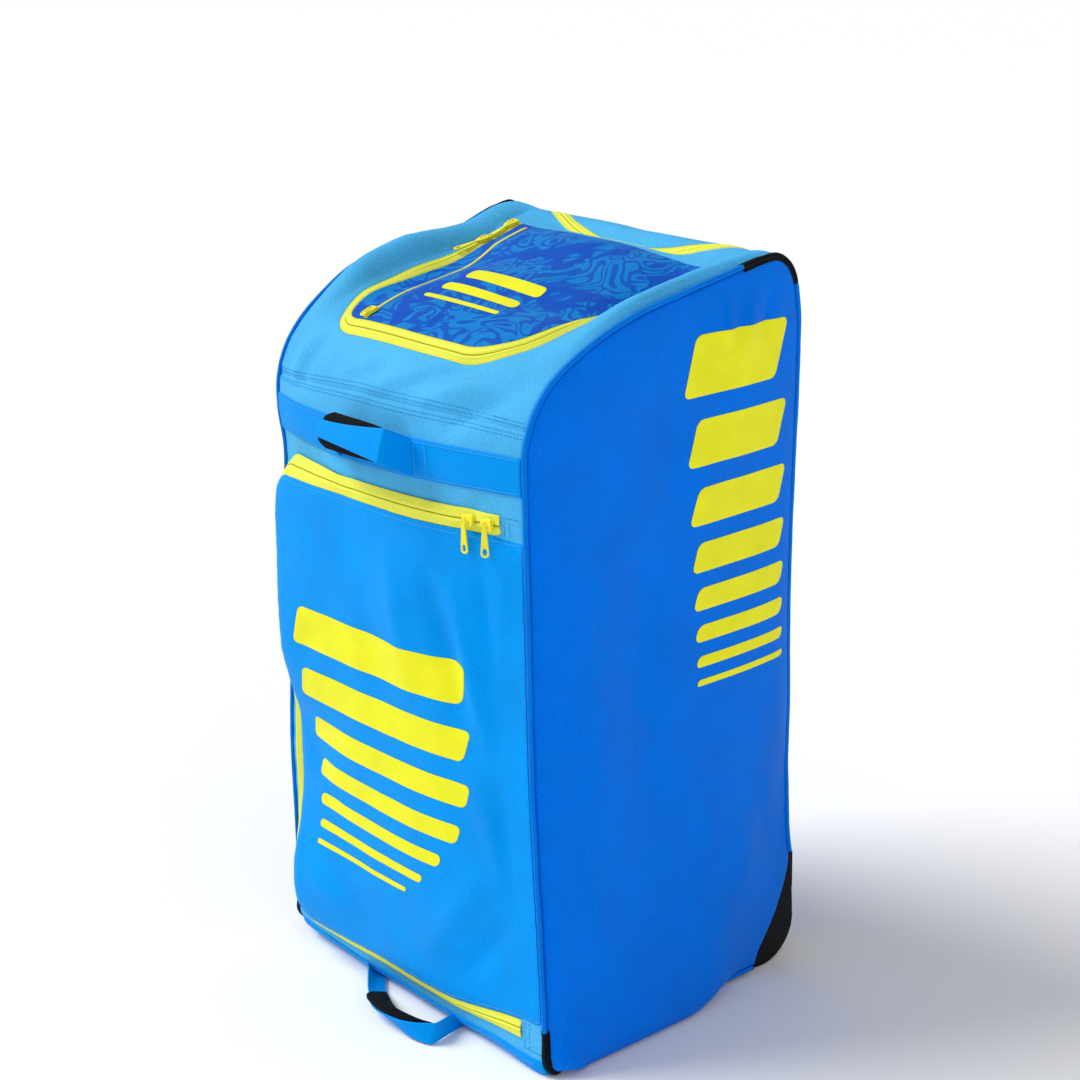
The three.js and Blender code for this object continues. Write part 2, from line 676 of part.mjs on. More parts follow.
// The side panel's own outline, which leaves the seam to pass in front of the wheel housing.
function sideOutline() {
  const inset = PIPING_RADIUS + GAP;
  const cutTopAt = BACK_RUN.start + BACK_RUN.z - SIDE_CUT_TOP;
  const fromFoot = SIDE_CUT_END - FRONT_Y - FRONT_FOOT_RADIUS;
  const straightStep = 130;
  const corners = seamPlaces(0, cutTopAt);
  const places = corners.slice(0, -1).flatMap((at, i) => {
    const length = corners[i + 1] - at;
    return spread(at, corners[i + 1], Math.ceil(length / straightStep)).slice(0, -1);
  });
  const outline = [...places, cutTopAt].map((along) => insetPoint(along, inset));
  const top = outline.at(-1);
  const curve = spread(0, 1, 4).slice(1).map((t) => {
    const bow = 4 * t * (1 - t);
    return {
      y: lerp(top.y, SIDE_CUT_FOOT.y, t) + SIDE_CUT_BOW.y * bow,
      z: lerp(top.z, SIDE_CUT_FOOT.z, t) + SIDE_CUT_BOW.z * bow,
    };
  });
  const base = spread(-fromFoot, 0, 4).slice(0, -1).map((along) => insetPoint(along, inset));
  return [...outline, ...curve, ...base];
}

const SIDE_OUTLINE = sideOutline();

function distanceToOutline(y, z) {
  let nearest = Infinity;
  SIDE_OUTLINE.forEach((a, i) => {
    const b = SIDE_OUTLINE[(i + 1) % SIDE_OUTLINE.length];
    const [runY, runZ] = [b.y - a.y, b.z - a.z];
    const t = clamp(((y - a.y) * runY + (z - a.z) * runZ) / (runY ** 2 + runZ ** 2), 0, 1);
    nearest = Math.min(nearest, Math.hypot(y - a.y - runY * t, z - a.z - runZ * t));
  });
  return nearest;
}

// Bulge of a side panel beyond the seam plane: a quarter-round rise from its edge.
function sideBulge(y, z) {
  const share = Math.min(1, distanceToOutline(y, z) / SIDE_RISE_WIDTH);
  return tableAt(SIDE_FORM, "height", "bulge", z) * Math.sqrt(1 - (1 - share) ** 2);
}

function sidePanel(side) {
  const pointAt = (y, z, depth) => new THREE.Vector3(side * (SEAM_HALF + sideBulge(y, z) - depth), y, z);
  const ringAt = (scale, depth) =>
    SIDE_OUTLINE.map((p) => pointAt(lerp(SIDE_MIDDLE.y, p.y, scale), lerp(SIDE_MIDDLE.z, p.z, scale), depth));
  const middle = (depth) => pointAt(SIDE_MIDDLE.y, SIDE_MIDDLE.z, depth);
  const inside = SIDE_RINGS.map((scale) => ringAt(scale, CLOTH)).reverse();
  const outside = SIDE_RINGS.map((scale) => ringAt(scale, 0));
  return ringSkin([...inside, ...outside], middle(CLOTH), middle(0));
}

// Place beside the seam line: out along X from the seam, and up along the outline's normal.
function besideSeam(side, along, outX, outNormal) {
  const { y, z, ny, nz } = seamAt(along);
  return new THREE.Vector3(side * (SEAM_HALF + outX), y + ny * outNormal, z + nz * outNormal);
}

function piping(side) {
  const clear = 4;
  const from = -(SIDE_CUT_END - clear - FRONT_Y - FRONT_FOOT_RADIUS);
  const to = BACK_RUN.start + BACK_RUN.z - HOUSING_TOP - clear;
  const sides = 8;
  const rings = seamPlaces(from, to).map((along) =>
    spread(0, 2 * Math.PI, sides).slice(1).map((turn) =>
      besideSeam(side, along, PIPING_RADIUS * Math.cos(turn), PIPING_RADIUS * Math.sin(turn)),
    ),
  );
  return ringSkin(rings, besideSeam(side, from, 0, 0), besideSeam(side, to, 0, 0));
}

// Tape folded over the piping, with a leg on the cloth at each side of it.
function binding(side, { from, to, reach, seat }) {
  const legs = [reach, BINDING_SHOULDER];
  const turns = BINDING_TURNS.map((turn) => degToRad(turn));
  const rowAt = (along, over) => {
    const radius = PIPING_RADIUS + BINDING_CLEAR + over;
    const onGusset = legs.map((leg) =>
      besideSeam(side, along, -leg, gussetRise(along, SEAM_HALF - leg) + seat + over),
    );
    const round = turns.map((turn) =>
      besideSeam(side, along, radius * Math.cos(turn), radius * Math.sin(turn)),
    );
    const onSide = [...legs].reverse().map((leg) => {
      const { y, z } = insetPoint(along, leg);
      return besideSeam(side, along, sideBulge(y, z) + GAP + over, -leg);
    });
    return [...onGusset, ...round, ...onSide];
  };
  const places = seamPlaces(from, to);
  return wall(
    places.map((along) => rowAt(along, BINDING_WALL)),
    places.map((along) => rowAt(along, 0)),
  );
}

// Bands and handles

function band([from, to], half, steps) {
  const columns = COLUMNS.filter((across) => Math.abs(across) <= half);
  const alongs = spread(from, to, steps);
  return patch(columns, () => alongs, () => BAND_TOP, STRAP);
}

// How far a handle stands off its band.
function standoffAt(across, standoff) {
  const rise = 1 - smoothstep(Math.abs(across), HANDLE_FLAT_HALF, HANDLE_HALF);
  return standoff * rise + HANDLE_BOW * Math.max(0, 1 - (across / HANDLE_FLAT_HALF) ** 2);
}

// Strip that follows the band's curve, moved off it as the handle's loop is.
function handleStrip(columns, rangeOf, handle, lift, thickness) {
  const grid = (depth) =>
    columns.map((across) => {
      const away = standoffAt(across, handle.standoff);
      const [from, to] = rangeOf(across);
      return spread(from, to, 4).map((along) => {
        const point = gussetPoint(along, across, lift - depth);
        return point.add(new THREE.Vector3(0, handle.toward.y * away, handle.toward.z * away));
      });
    });
  return wall(grid(0), grid(thickness));
}

// The strap's two edges, drawn in where it stands off the band.
function strapEdges([from, to], handle, across) {
  const inward = handle.narrow * (1 - smoothstep(Math.abs(across), HANDLE_FLAT_HALF, HANDLE_HALF));
  return [from + inward, to - inward];
}

function grip(bandAt, handle) {
  const legs = spread(HANDLE_FLAT_HALF, HANDLE_HALF, 5);
  const columns = mirrored([0, HANDLE_FLAT_HALF / 2, ...legs, HANDLE_HALF + HANDLE_SEWN]);
  const rangeOf = (across) => strapEdges(bandAt, handle, across);
  return handleStrip(columns, rangeOf, handle, BAND_TOP + 2 * GAP + STRAP, STRAP);
}

// Padded lining behind the grip, wider than the strap in the middle and narrowing to its ends.
function pad(bandAt, handle) {
  const half = HANDLE_FLAT_HALF - STRAP;
  const rangeOf = (across) => {
    const over = handle.overhang * (1 - (across / half) ** 2);
    const [from, to] = strapEdges(bandAt, handle, across);
    return [from - over, to + over];
  };
  return handleStrip(mirrored(spread(0, half, 4)), rangeOf, handle, BAND_TOP, PAD);
}

// Sliders and pulls

// Axes on a surface: first along the zip, then across it, then out of the cloth.
function seat(origin, alongZip, across) {
  const first = alongZip.clone().normalize();
  const out = first.clone().cross(across).normalize();
  return new THREE.Matrix4().makeBasis(first, out.clone().cross(first), out).setPosition(origin);
}

// Slider body lying on its zip, nose tapered, centred on the seat.
function slider(place) {
  const { length, width, height, nose, shoulder } = SLIDER;
  const shape = new THREE.Shape();
  shape.moveTo(-length / 2, -nose / 2);
  shape.lineTo(shoulder, -width / 2);
  shape.lineTo(length / 2, -width / 2);
  shape.lineTo(length / 2, width / 2);
  shape.lineTo(shoulder, width / 2);
  shape.lineTo(-length / 2, nose / 2);
  shape.closePath();
  const geometry = new THREE.ExtrudeGeometry(shape, { depth: height, bevelEnabled: false });
  return geometry.applyMatrix4(place);
}

// Flat pull with rounded ends and a hole at its free end, running from the seat along its first axis.
function pull(place) {
  const { length, width, rootWidth, thickness, hole, holeFromEnd } = PULL;
  const half = width / 2;
  const shape = new THREE.Shape();
  shape.moveTo(0, -rootWidth / 2);
  shape.lineTo(length - half, -half);
  shape.absarc(length - half, 0, half, -Math.PI / 2, Math.PI / 2, false);
  shape.lineTo(0, rootWidth / 2);
  shape.closePath();
  const eye = new THREE.Path();
  eye.absarc(length - holeFromEnd, 0, hole, 0, 2 * Math.PI, true);
  shape.holes.push(eye);
  const options = { depth: thickness, bevelEnabled: false, curveSegments: 4 };
  return new THREE.ExtrudeGeometry(shape, options).applyMatrix4(place);
}

// Seat on the gusset cloth, its first axis along the outline.
function gussetSeat(along, across, lift) {
  const step = 4;
  const alongRun = gussetPoint(along + step, across, lift).sub(gussetPoint(along - step, across, lift));
  const acrossRun = gussetPoint(along, across - step, lift).sub(gussetPoint(along, across + step, lift));
  return seat(gussetPoint(along, across, lift), alongRun, acrossRun);
}

function addPocketSliders() {
  POCKET_SLIDERS_AT.forEach((across, i) => {
    const place = { along: POCKET_TOP_AT, across, out: { along: 1, across: 0 } };
    const low = pocketZipPoint(place, 0.2, 0);
    const high = pocketZipPoint(place, 0.9, 0);
    const ramp = high.clone().sub(low);
    const raise = new THREE.Matrix4().makeTranslation(0, 0, SLIDER_CLEAR.pocket);
    const sliderSeat = seat(low.clone().lerp(high, 0.5), new THREE.Vector3(1, 0, 0), ramp).multiply(raise);
    add(`pocket_slider_${i + 1}`, slider(sliderSeat), "pullYellow");
    const overPocket = pocketLift(POCKET_TOP_AT, across) + PULL.thickness + POCKET_PULL_CLEAR;
    const hang = gussetPoint(POCKET_TOP_AT, across, overPocket).setZ(low.z + SLIDER_CLEAR.pocket);
    const pullSeat = seat(hang, new THREE.Vector3(0, 0, -1), new THREE.Vector3(-1, 0, 0));
    add(`pocket_pull_${i + 1}`, pull(pullSeat), "pullYellow");
  });
}

function addLidSliders() {
  const across = -(LID_ZIP_HALF - ZIP_TAPE / 2);
  const turnBack = new THREE.Matrix4().makeRotationZ(Math.PI);
  LID_SLIDERS.forEach(({ along, under, underPull }, i) => {
    add(`lid_slider_${i + 1}`, slider(gussetSeat(along, across, under)), "pullYellow");
    const pullFrom = along - SLIDER.length / 2 - GAP;
    const pullSeat = gussetSeat(pullFrom, across, underPull).multiply(turnBack);
    add(`lid_pull_${i + 1}`, pull(pullSeat), "pullYellow");
  });
}

function addLidPocketSlider() {
  const { from, to } = LID_POCKET_ZIP;
  const lift = LID_POCKET_ZIP_SEAT + ZIP_WALL + SLIDER_CLEAR.lidPocket;
  const along = lerp(from.along, to.along, LID_POCKET_SLIDER_SHARE);
  const across = lerp(from.across, to.across, LID_POCKET_SLIDER_SHARE);
  add("lid_pocket_slider", slider(gussetSeat(along, across, lift)), "pullYellow");
}

// Wheels

function cheekShape() {
  const { y, z } = WHEEL_CENTRE;
  const back = y + CHEEK_RADIUS;
  const shape = new THREE.Shape();
  shape.moveTo(HOUSING_FRONT, z - CHEEK_RADIUS);
  shape.lineTo(y, z - CHEEK_RADIUS);
  shape.absarc(y, z, CHEEK_RADIUS, -Math.PI / 2, 0, false);
  shape.lineTo(back, HOUSING_TOP);
  shape.lineTo(HOUSING_SHOULDER, HOUSING_TOP);
  shape.lineTo(HOUSING_FRONT, z + CHEEK_RADIUS);
  shape.closePath();
  return shape;
}

function wheelArchShape() {
  const { y, z } = WHEEL_CENTRE;
  const [from, to] = WELL_TURN.map((turn) => degToRad(turn));
  const shape = new THREE.Shape();
  shape.absarc(y, z, WELL_RADIUS + HOUSING_WALL, from, to, false);
  shape.absarc(y, z, WELL_RADIUS, to, from, true);
  shape.closePath();
  return shape;
}

// Corner moulding: two plates, an arch over the wheel between them and a flange up the back.
function wheelHousing(side) {
  const back = WHEEL_CENTRE.y + CHEEK_RADIUS;
  const flangeFoot = WHEEL_CENTRE.z + WELL_RADIUS * Math.sin(degToRad(WELL_TURN[0]));
  const plates = [HOUSING_INNER, HOUSING_OUTER - HOUSING_WALL].map((x) =>
    acrossExtrusion(cheekShape(), x, x + HOUSING_WALL, 6),
  );
  const [fromX, toX] = [HOUSING_INNER + HOUSING_LAP, HOUSING_OUTER - HOUSING_LAP];
  const arch = acrossExtrusion(wheelArchShape(), fromX, toX, 12);
  const flange = boxBetween(
    new THREE.Vector3(fromX, back - HOUSING_WALL, flangeFoot),
    new THREE.Vector3(toX, back, HOUSING_TOP),
  );
  const right = join([...plates, arch, flange]);
  return side > 0 ? right : mirrorX(right);
}

// The same solid on the other side of the bag.
function mirrorX(geometry) {
  const flipped = geometry.clone().scale(-1, 1, 1);
  const index = [...flipped.getIndex().array];
  for (let i = 0; i < index.length; i += 3) {
    [index[i + 1], index[i + 2]] = [index[i + 2], index[i + 1]];
  }
  flipped.setIndex(index);
  return flipped;
}

// Turned solid about the X axis, from (radius, place along the axle) points of a closed profile.
function turned(profile) {
  const points = [...profile, profile[0]].map(([radius, place]) => new THREE.Vector2(radius, place));
  return new THREE.LatheGeometry(points, WHEEL_SEGMENTS).rotateZ(-Math.PI / 2);
}

// Profile with the second half a mirror image of the first about the wheel's mid-plane.
const mirroredProfile = (half) => [
  ...half.map(([radius, place]) => [radius, -place]),
  ...[...half].reverse(),
];

function addWheel(side, name) {
  const { x, y, z } = WHEEL_CENTRE;
  const tyre = turned(
    mirroredProfile([
      [HUB_RADIUS + GAP, TYRE_WIDTH / 2],
      [TYRE_RADIUS - TYRE_SHOULDER, TYRE_WIDTH / 2],
      [TYRE_RADIUS, TREAD_WIDTH / 2],
    ]),
  );
  const hub = turned(
    mirroredProfile([
      [AXLE_RADIUS + GAP, HUB_WIDTH / 2],
      [BOSS_RADIUS.end, HUB_WIDTH / 2],
      [BOSS_RADIUS.root, HUB_WEB / 2],
      [HUB_RADIUS, HUB_RIM_WIDTH / 2],
    ]),
  );
  const axleLength = HOUSING_OUTER - HOUSING_INNER - 2 * HOUSING_WALL - 2 * GAP;
  const axle = new THREE.CylinderGeometry(AXLE_RADIUS, AXLE_RADIUS, axleLength, 12).rotateZ(Math.PI / 2);
  const middle = (HOUSING_OUTER + HOUSING_INNER) / 2;
  add(`wheel_tyre_${name}`, tyre, "rubber").position.set(side * x, y, z);
  add(`wheel_hub_${name}`, hub, "hub").position.set(side * x, y, z);
  add(`wheel_axle_${name}`, axle, "steel").position.set(side * middle, y, z);
}

// The bag

add("front_panel", frontPanel(), "lightBlue");
add("base_panel", basePanel(), "blue");
add("back_panel", backPanel(), "blue");
add("top_panel", topPanel(), "lightBlue");
add("lid_zip", lidZip(), "zipYellow");
add("lid_flap", lidFlap(), "marbled");
add("lid_pocket_zip", lidPocketZip(), "zipYellow");
add("rear_deck", rearDeck(), "lightBlue");
add("rear_zip", rearZip(), "zipYellow");
add("rear_flap", rearFlap(), "lightBlue");
add("pocket_panel", pocketPanel(), "pocketBlue");
add("pocket_zip", pocketZip(), "zipYellow");
add("upper_band", band(UPPER_BAND_AT, EDGE, 2), "blue");
add("upper_grip", grip(UPPER_BAND_AT, UPPER_HANDLE), "blue");
add("upper_pad", pad(UPPER_BAND_AT, UPPER_HANDLE), "blackCloth");
add("lower_band", band(LOWER_BAND_AT, FLAT_EDGE, 4), "blue");
add("lower_grip", grip(LOWER_BAND_AT, LOWER_HANDLE), "blue");
add("lower_pad", pad(LOWER_BAND_AT, LOWER_HANDLE), "blackCloth");
addPocketSliders();
addLidSliders();
addLidPocketSlider();

for (const { side, name } of [{ side: 1, name: "right" }, { side: -1, name: "left" }]) {
  add(`side_panel_${name}`, sidePanel(side), "blue");
  add(`piping_${name}`, piping(side), "blue");
  add(`foot_binding_${name}`, binding(side, FOOT_BINDING), "blackCloth");
  add(`crown_binding_${name}`, binding(side, CROWN_BINDING), "blackCloth");
  add(`wheel_housing_${name}`, wheelHousing(side), "blackPlastic");
  addWheel(side, name);
}

export default bag;
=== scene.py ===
"""Looks of a wheeled kit bag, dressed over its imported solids.

The form tables are in millimetres, as the solids' own are; points go to metres when a mesh is made.
X runs across the front, Y from the front to the back, Z up from the floor.
"""

import math

import bpy
import numpy as np
from mathutils import Matrix


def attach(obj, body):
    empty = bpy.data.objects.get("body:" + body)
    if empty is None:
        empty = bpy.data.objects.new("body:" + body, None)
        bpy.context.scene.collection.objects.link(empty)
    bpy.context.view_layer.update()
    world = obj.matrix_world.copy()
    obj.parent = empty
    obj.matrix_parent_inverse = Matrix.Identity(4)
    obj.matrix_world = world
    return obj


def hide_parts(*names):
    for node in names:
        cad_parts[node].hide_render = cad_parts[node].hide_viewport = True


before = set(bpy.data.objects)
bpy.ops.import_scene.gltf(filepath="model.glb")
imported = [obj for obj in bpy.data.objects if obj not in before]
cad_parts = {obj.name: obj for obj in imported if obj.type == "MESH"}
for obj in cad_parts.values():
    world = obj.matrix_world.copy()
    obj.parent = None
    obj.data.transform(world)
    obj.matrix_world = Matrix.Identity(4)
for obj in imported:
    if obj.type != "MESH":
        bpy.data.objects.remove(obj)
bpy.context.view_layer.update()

MM = 0.001
SIDES = ((1, "right"), (-1, "left"))

# Seam outline of the side panels
SEAM_HALF = 244.0
SEAM_DEPTH = 436.0
SEAM_LIFT = 8.0
FOOT_RADIUS = 27.5
FRONT_RUN = 724.5
FRONT_TOP = (120.0, 60.0)
ROOF = (440.0, 20.0)
BACK_TOP_RADIUS = 40.0
BACK_FOOT_RADIUS = 57.0
BACK_SAG = 13.0
FRONT_Y = -SEAM_DEPTH / 2
BASE_RAMP = 16.0
FLOOR_CLEAR = 0.2
CLOTH = 2.0
GAP = 0.3
PIPING_RADIUS = 3.2
EDGE = SEAM_HALF - PIPING_RADIUS - GAP
MIDDLE = np.array([0.0, 0.0, 470.0])

# Places along the outline
LOWER_BAND = (18.0, 46.0)
BASE_SEAM = 32.0
POCKET_BOTTOM, POCKET_TOP = 70.0, 680.0
UPPER_BAND = (724.0, 772.0)
TOP_SEAM = 803.0
LID_FRONT, LID_REAR = 858.0, 1170.0
REAR_SEAM = 1330.0
BACK_END = 2218.0

# Lid, rear arch and pocket
LID_ZIP_HALF = 190.0
LID_CORNER = 86.0
LID_CROWN = 19.0
LID_CROWN_SKEW = 1.6
LID_STEP = 7.0
# How far behind its front the lid's step fades out, at its left and at its right, and the turn between
LID_HINGES, LID_HINGE_ACROSS = ((90, 210), (60, 150)), (-60, 120)
ZIP_TAPE = 18.0
ZIP_WALL = 1.8
ZIP_SEAT = 0.8
ARCH_HALF, ARCH_REACH = 205.0, 150.0
REAR_ZIP = 25.0
POCKET_LEFT, POCKET_RIGHT = -212.0, 239.5
POCKET_CORNER = 31.0
POCKET_ZIP_TOP, POCKET_ZIP_BOTTOM = 210.0, 208.0
POCKET_HINGE_LIFT = 2.3
POCKET_MIDDLE = (0.35, 0.55)
LID_POCKET_ZIP = ((878.0, -92.0), (1158.0, -150.0))
LID_POCKET_ZIP_WIDTH = 6.0
LID_POCKET_ZIP_SEAT = 0.1

# Columns: along, bulge, fullness, ridge
GUSSET_FORM = np.array([
    (20, 18, 5, 0), (48, 13, 4, 0), (140, 11, 2.6, 0), (390, 13, 2.4, 0), (610, 20, 2.4, 0),
    (725, 28, 2.4, 0), (803, 31, 2.4, 0), (858, 24, 2.6, 0), (920, 8, 3.5, 3), (990, -8, 5, 7),
    (1070, -15, 6, 10), (1150, -16, 6, 9), (1210, -9, 5, 6), (1260, -3, 3.5, 2), (1300, 1, 2.6, 0),
    (1330, 3, 2.4, 0), (1600, 9, 2.4, 0), (2000, 6, 2.4, 0), (2150, 2, 2.4, 0),
], float)
# Columns: along, more height of the rolled edge at the left seam, the same at the right seam
RIDGE_FORM = np.array([
    (860, 0, 0), (920, 5, 1), (970, 8, 5), (1030, 8, 9), (1110, 7, 9), (1170, 5, 6), (1230, 0, 0),
], float)
RIDGE_FROM_SEAM, RIDGE_HALF_WIDTH = 22.0, 24.0
RIDGE_START = (2.0, 14.0)
# How far sewn lines lie from their even places. Columns: shift along, the place along where it is
# largest, its half width, and the places across where it starts and where it is full
ALL_ACROSS = (-SEAM_HALF - 1, -SEAM_HALF)
DRIFT = [
    (-13, 50, 60, *ALL_ACROSS), (13, 72, 22, 90, 225), (12, 735, 50, -60, 230), (5, 815, 32, 0, 240),
    (-10, 815, 32, 0, -240), (22, 1165, 55, *ALL_ACROSS), (-7.7, 1165, 55, 0, 220),
]
# Columns: along, lift at the zipped left edge, lift mid-width
POCKET_FORM = np.array([
    (70, 24, 17), (100, 32, 20), (140, 30, 22), (200, 15, 23), (270, 6, 24), (340, 8, 25), (400, 27, 26),
    (450, 39, 26), (500, 40, 26), (560, 37, 25), (630, 34, 21), (680, 31, 16),
], float)
# Columns: height, bulge
SIDE_FORM = np.array([(0, 20), (150, 25), (400, 23), (650, 17), (850, 11), (950, 8)], float)
SIDE_RISE = 120.0
SIDE_FLAT, SIDE_FLAT_REACH = 0.25, 130.0
# Slack foot of the side cloth: it comes in behind the front edge and fades towards the back.
# Columns: height above the bottom seam, how far out and how far down the cloth sags
SLACK_FRONT, SLACK_BACK = (FRONT_Y, FRONT_Y + 44), (-5.0, 168.0)
BELLY = np.array([
    (0, 0, 0), (5, 7, 9), (10, 13, 16.5), (16, 17.5, 24.5), (24, 19.5, 31), (34, 20, 34), (50, 18, 34),
    (80, 13, 31), (140, 6, 18), (220, 0, 0),
], float)

# Soft folds: where each starts and ends, its half width and its height (below 0 for a valley)
# Columns: along, across, along, across, half width, height
GUSSET_FOLDS = [
    (862, 214, 800, 60, 13, 9.0), (842, 228, 784, 120, 11, -8.0), (866, 168, 812, 14, 13, -7.0),
    (846, 96, 806, -30, 11, 5.5), (866, -146, 790, -168, 11, -7.0), (858, -176, 792, -192, 10, 6.0),
    (836, 10, 808, -70, 10, -4.0), (850, 236, 812, 196, 8, 5.0), (852, -206, 800, -222, 9, -4.0),
    (1120, 240, 1132, 216, 5, 3.0), (1152, 240, 1160, 212, 5, 3.4), (1186, 240, 1180, 214, 6, -3.2),
    (716, -120, 690, -40, 10, 3.4), (690, 140, 718, 200, 9, -3.0), (700, 214, 722, 236, 7, 3.0),
    (985, 184, 1160, 184, 24, -9.0), (1204, -150, 1204, 160, 15, -9.0), (1300, -225, 1300, 0, 32, 15.0),
    (1310, -20, 1310, 220, 30, 5.0), (1142, -215, 1142, 150, 40, 17.0),
    (856, -160, 1110, -150, 46, -15.0),
]
POCKET_FOLDS = [
    (655, 30, 440, 66, 20, 5.0), (640, 96, 420, 150, 17, -7.5), (625, 136, 400, 186, 15, 7.0),
    (650, 176, 500, 196, 11, -5.5), (660, 214, 560, 216, 8, 4.0), (600, -30, 400, 10, 28, -3.2),
    (330, -205, 250, -110, 24, -3.4), (230, -208, 300, -90, 19, 2.8), (430, -200, 500, -110, 24, -4.0),
    (140, -190, 100, -50, 16, 4.0), (100, 60, 260, 180, 22, 5.0), (90, 120, 200, 205, 15, -5.0),
    (400, 150, 230, 205, 20, 4.5), (380, 196, 180, 214, 12, -4.0),
]
# Columns: height, depth place, height, depth place, half width, height of the fold
SIDE_FOLDS = [
    (946, 96, 846, 88, 10, 7.0), (940, 60, 866, 78, 8, 5.0), (942, 78, 870, 84, 6, -5.5),
    (926, 140, 826, 110, 12, 5.0), (930, 168, 850, 150, 9, -4.5), (640, -70, 230, -50, 34, -8.0),
    (600, -140, 150, -140, 40, 4.5), (420, 40, 90, 60, 44, 4.0), (300, 120, 160, 182, 24, -4.0),
    (260, 80, 110, 130, 24, 3.4), (820, -60, 690, 20, 30, -3.4), (760, 10, 640, 60, 26, 3.0),
    (720, -192, 560, -180, 9, -2.6), (300, -196, 190, -176, 9, 2.6), (170, -190, 50, -150, 15, 3.4),
    (500, 160, 330, 196, 20, 3.5), (140, 0, 30, 40, 24, -3.4), (120, -90, 24, -60, 20, 3.0),
]
# Distances from an edge over which swells and folds come in
GUSSET_LOOSE, POCKET_LOOSE, SIDE_LOOSE = (6.0, 60.0), (4.0, 60.0), (4.0, 70.0)

# Slow swells. Columns: height, length of a swell in both directions, layer of the noise
GUSSET_SWELLS = ((2.6, 150, 130, 0), (1.1, 62, 70, 3))
POCKET_SWELLS = ((2.0, 120, 100, 11), (0.8, 50, 45, 12))
SIDE_SWELLS = ((3.2, 190, 130, 21), (1.0, 70, 60, 22))
# Puckers beside seams. Columns: height, how far they reach, length of each, layer of the noise
GUSSET_PUCKER, TOP_GATHER = (1.7, 16.0, 17.0, 5), (0.7, 16.0, 19.0, 7)
POCKET_PUCKER, SIDE_PUCKER = (1.0, 12.0, 21.0, 13), (1.5, 15.0, 19.0, 23)
GATHER_CHANGE, POCKET_CHANGE, SIDE_PUCKER_START = 40.0, 21.0, 5.0
# Each side's own row of the noise
GUSSET_ROW, SIDE_ROW, SIDE_SWELL_ROW = 5.3, 4.4, 9
# Waves along the piping and the bindings. Columns: height, length, each side's row of the noise, layer
SWAY, FRONT_SWAY = (0.7, 45, 2.2, 31), (2.4, 80, 7.1, 32)
FRONT_SWAY_STARTS, FRONT_SWAY_ENDS = (80, 140), (380, 520)
PIPING_WAVE, BINDING_WAVE = (0.06, 9, 3.3, 33), (0.3, 11, 6.0, 41)
# Sewn grooves. Columns: half width, depth
TOP_GROOVE, REAR_GROOVE = (2.6, 1.3), (2.6, 1.0)
# Roll of the pocket cover towards its zip: depth, width
POCKET_ROLL = (3.2, 15.0)

# Slump of the whole bag. Each row is a shift, then the ramps whose product is its share: axis, where
# the ramp starts and where it is full. In turn: the front left edge bows in and out, the back draws in,
# the back top corners move in, the front foot corners stand out, the top's left edge has a crest and
# rises behind it.
X, Y, Z = 0, 1, 2
LEFT, TOP_LEFT = (X, -110, -SEAM_HALF), (Z, 780, 860)
LEFT_FRONT = ((X, -60, -SEAM_HALF), (Y, -40, -200))
BACK_CORNER = ((Y, 140, 212), (Z, 850, 930))
SLUMP = [
    ((0, 6, 0), *LEFT_FRONT, (Z, 610, 680), (Z, 745, 690)),
    ((0, -11, 0), *LEFT_FRONT, (Z, 10, 110), (Z, 470, 260)),
    ((0, -7, 0), (Y, 120, 205), (Z, 120, 200), (Z, 400, 260)),
    ((0, -20, 3), LEFT, *BACK_CORNER),
    ((0, -7, -4), (X, 150, SEAM_HALF), *BACK_CORNER),
    ((0, -5, -8), (X, 150, 240), (Y, -180, -212), (Z, 60, 12)),
    ((-11, -10, 6), (X, -150, -240), (Y, -180, -212), (Z, 90, 20)),
    ((0, 0, 12), LEFT, TOP_LEFT, (Y, -195, -95), (Y, 75, -40)),
    ((0, 0, 9), LEFT, TOP_LEFT, (Y, 75, 140)),
    ((0, 0, -5.4), LEFT, TOP_LEFT, (Y, 150, 195)),
]
# The right front edge flares out towards the floor, after the slump.
RIGHT_TOE = ((X, 120, 236), (Y, -165, -208))
FLARE = [((8, 0, 0), *RIGHT_TOE, (Z, 70, 0)), ((12, 0, 0), *RIGHT_TOE, (Z, 420, 40))]

# Handles
STRAP = 2.2
BAND_TOP = GAP + STRAP
HANDLE_SEWN = 26.0
# Half is where the strap leaves its band and flat half where it has turned. Lean is how far it leans to
# the right, bow how far its middle stands out. Lower and upper are the loose strap's edges, each as
# (y, z) at its left end and its right end. Overhang is how far the padded lining shows beyond them, pad
# the lining's thickness, and taper how fast the lining narrows towards its right end.
UPPER_HANDLE = {
    "band": UPPER_BAND, "half": 76.0, "flat_half": 61.0, "lean": 12.0, "bow": 2.0,
    "lower": ((-296, 757), (-296, 749)), "upper": ((-288, 777), (-284, 788)),
    "overhang": (19.0, 25.0), "pad": 9.0, "taper": 1.0,
}
LOWER_HANDLE = {
    "band": LOWER_BAND, "half": 97.0, "flat_half": 68.0, "lean": 38.0, "bow": 24.0,
    "lower": ((-246, 4), (-280, 2.4)), "upper": ((-273, 15), (-272, 29)),
    "overhang": (3.0, 7.0), "pad": 14.0, "taper": 0.45,
}
# Powers that shape the strap's turn from its left end to its right end, and its bow
HANDLE_TURN, HANDLE_BOW = 1.5, 2.5
HANDLE_CLEAR = 1.0

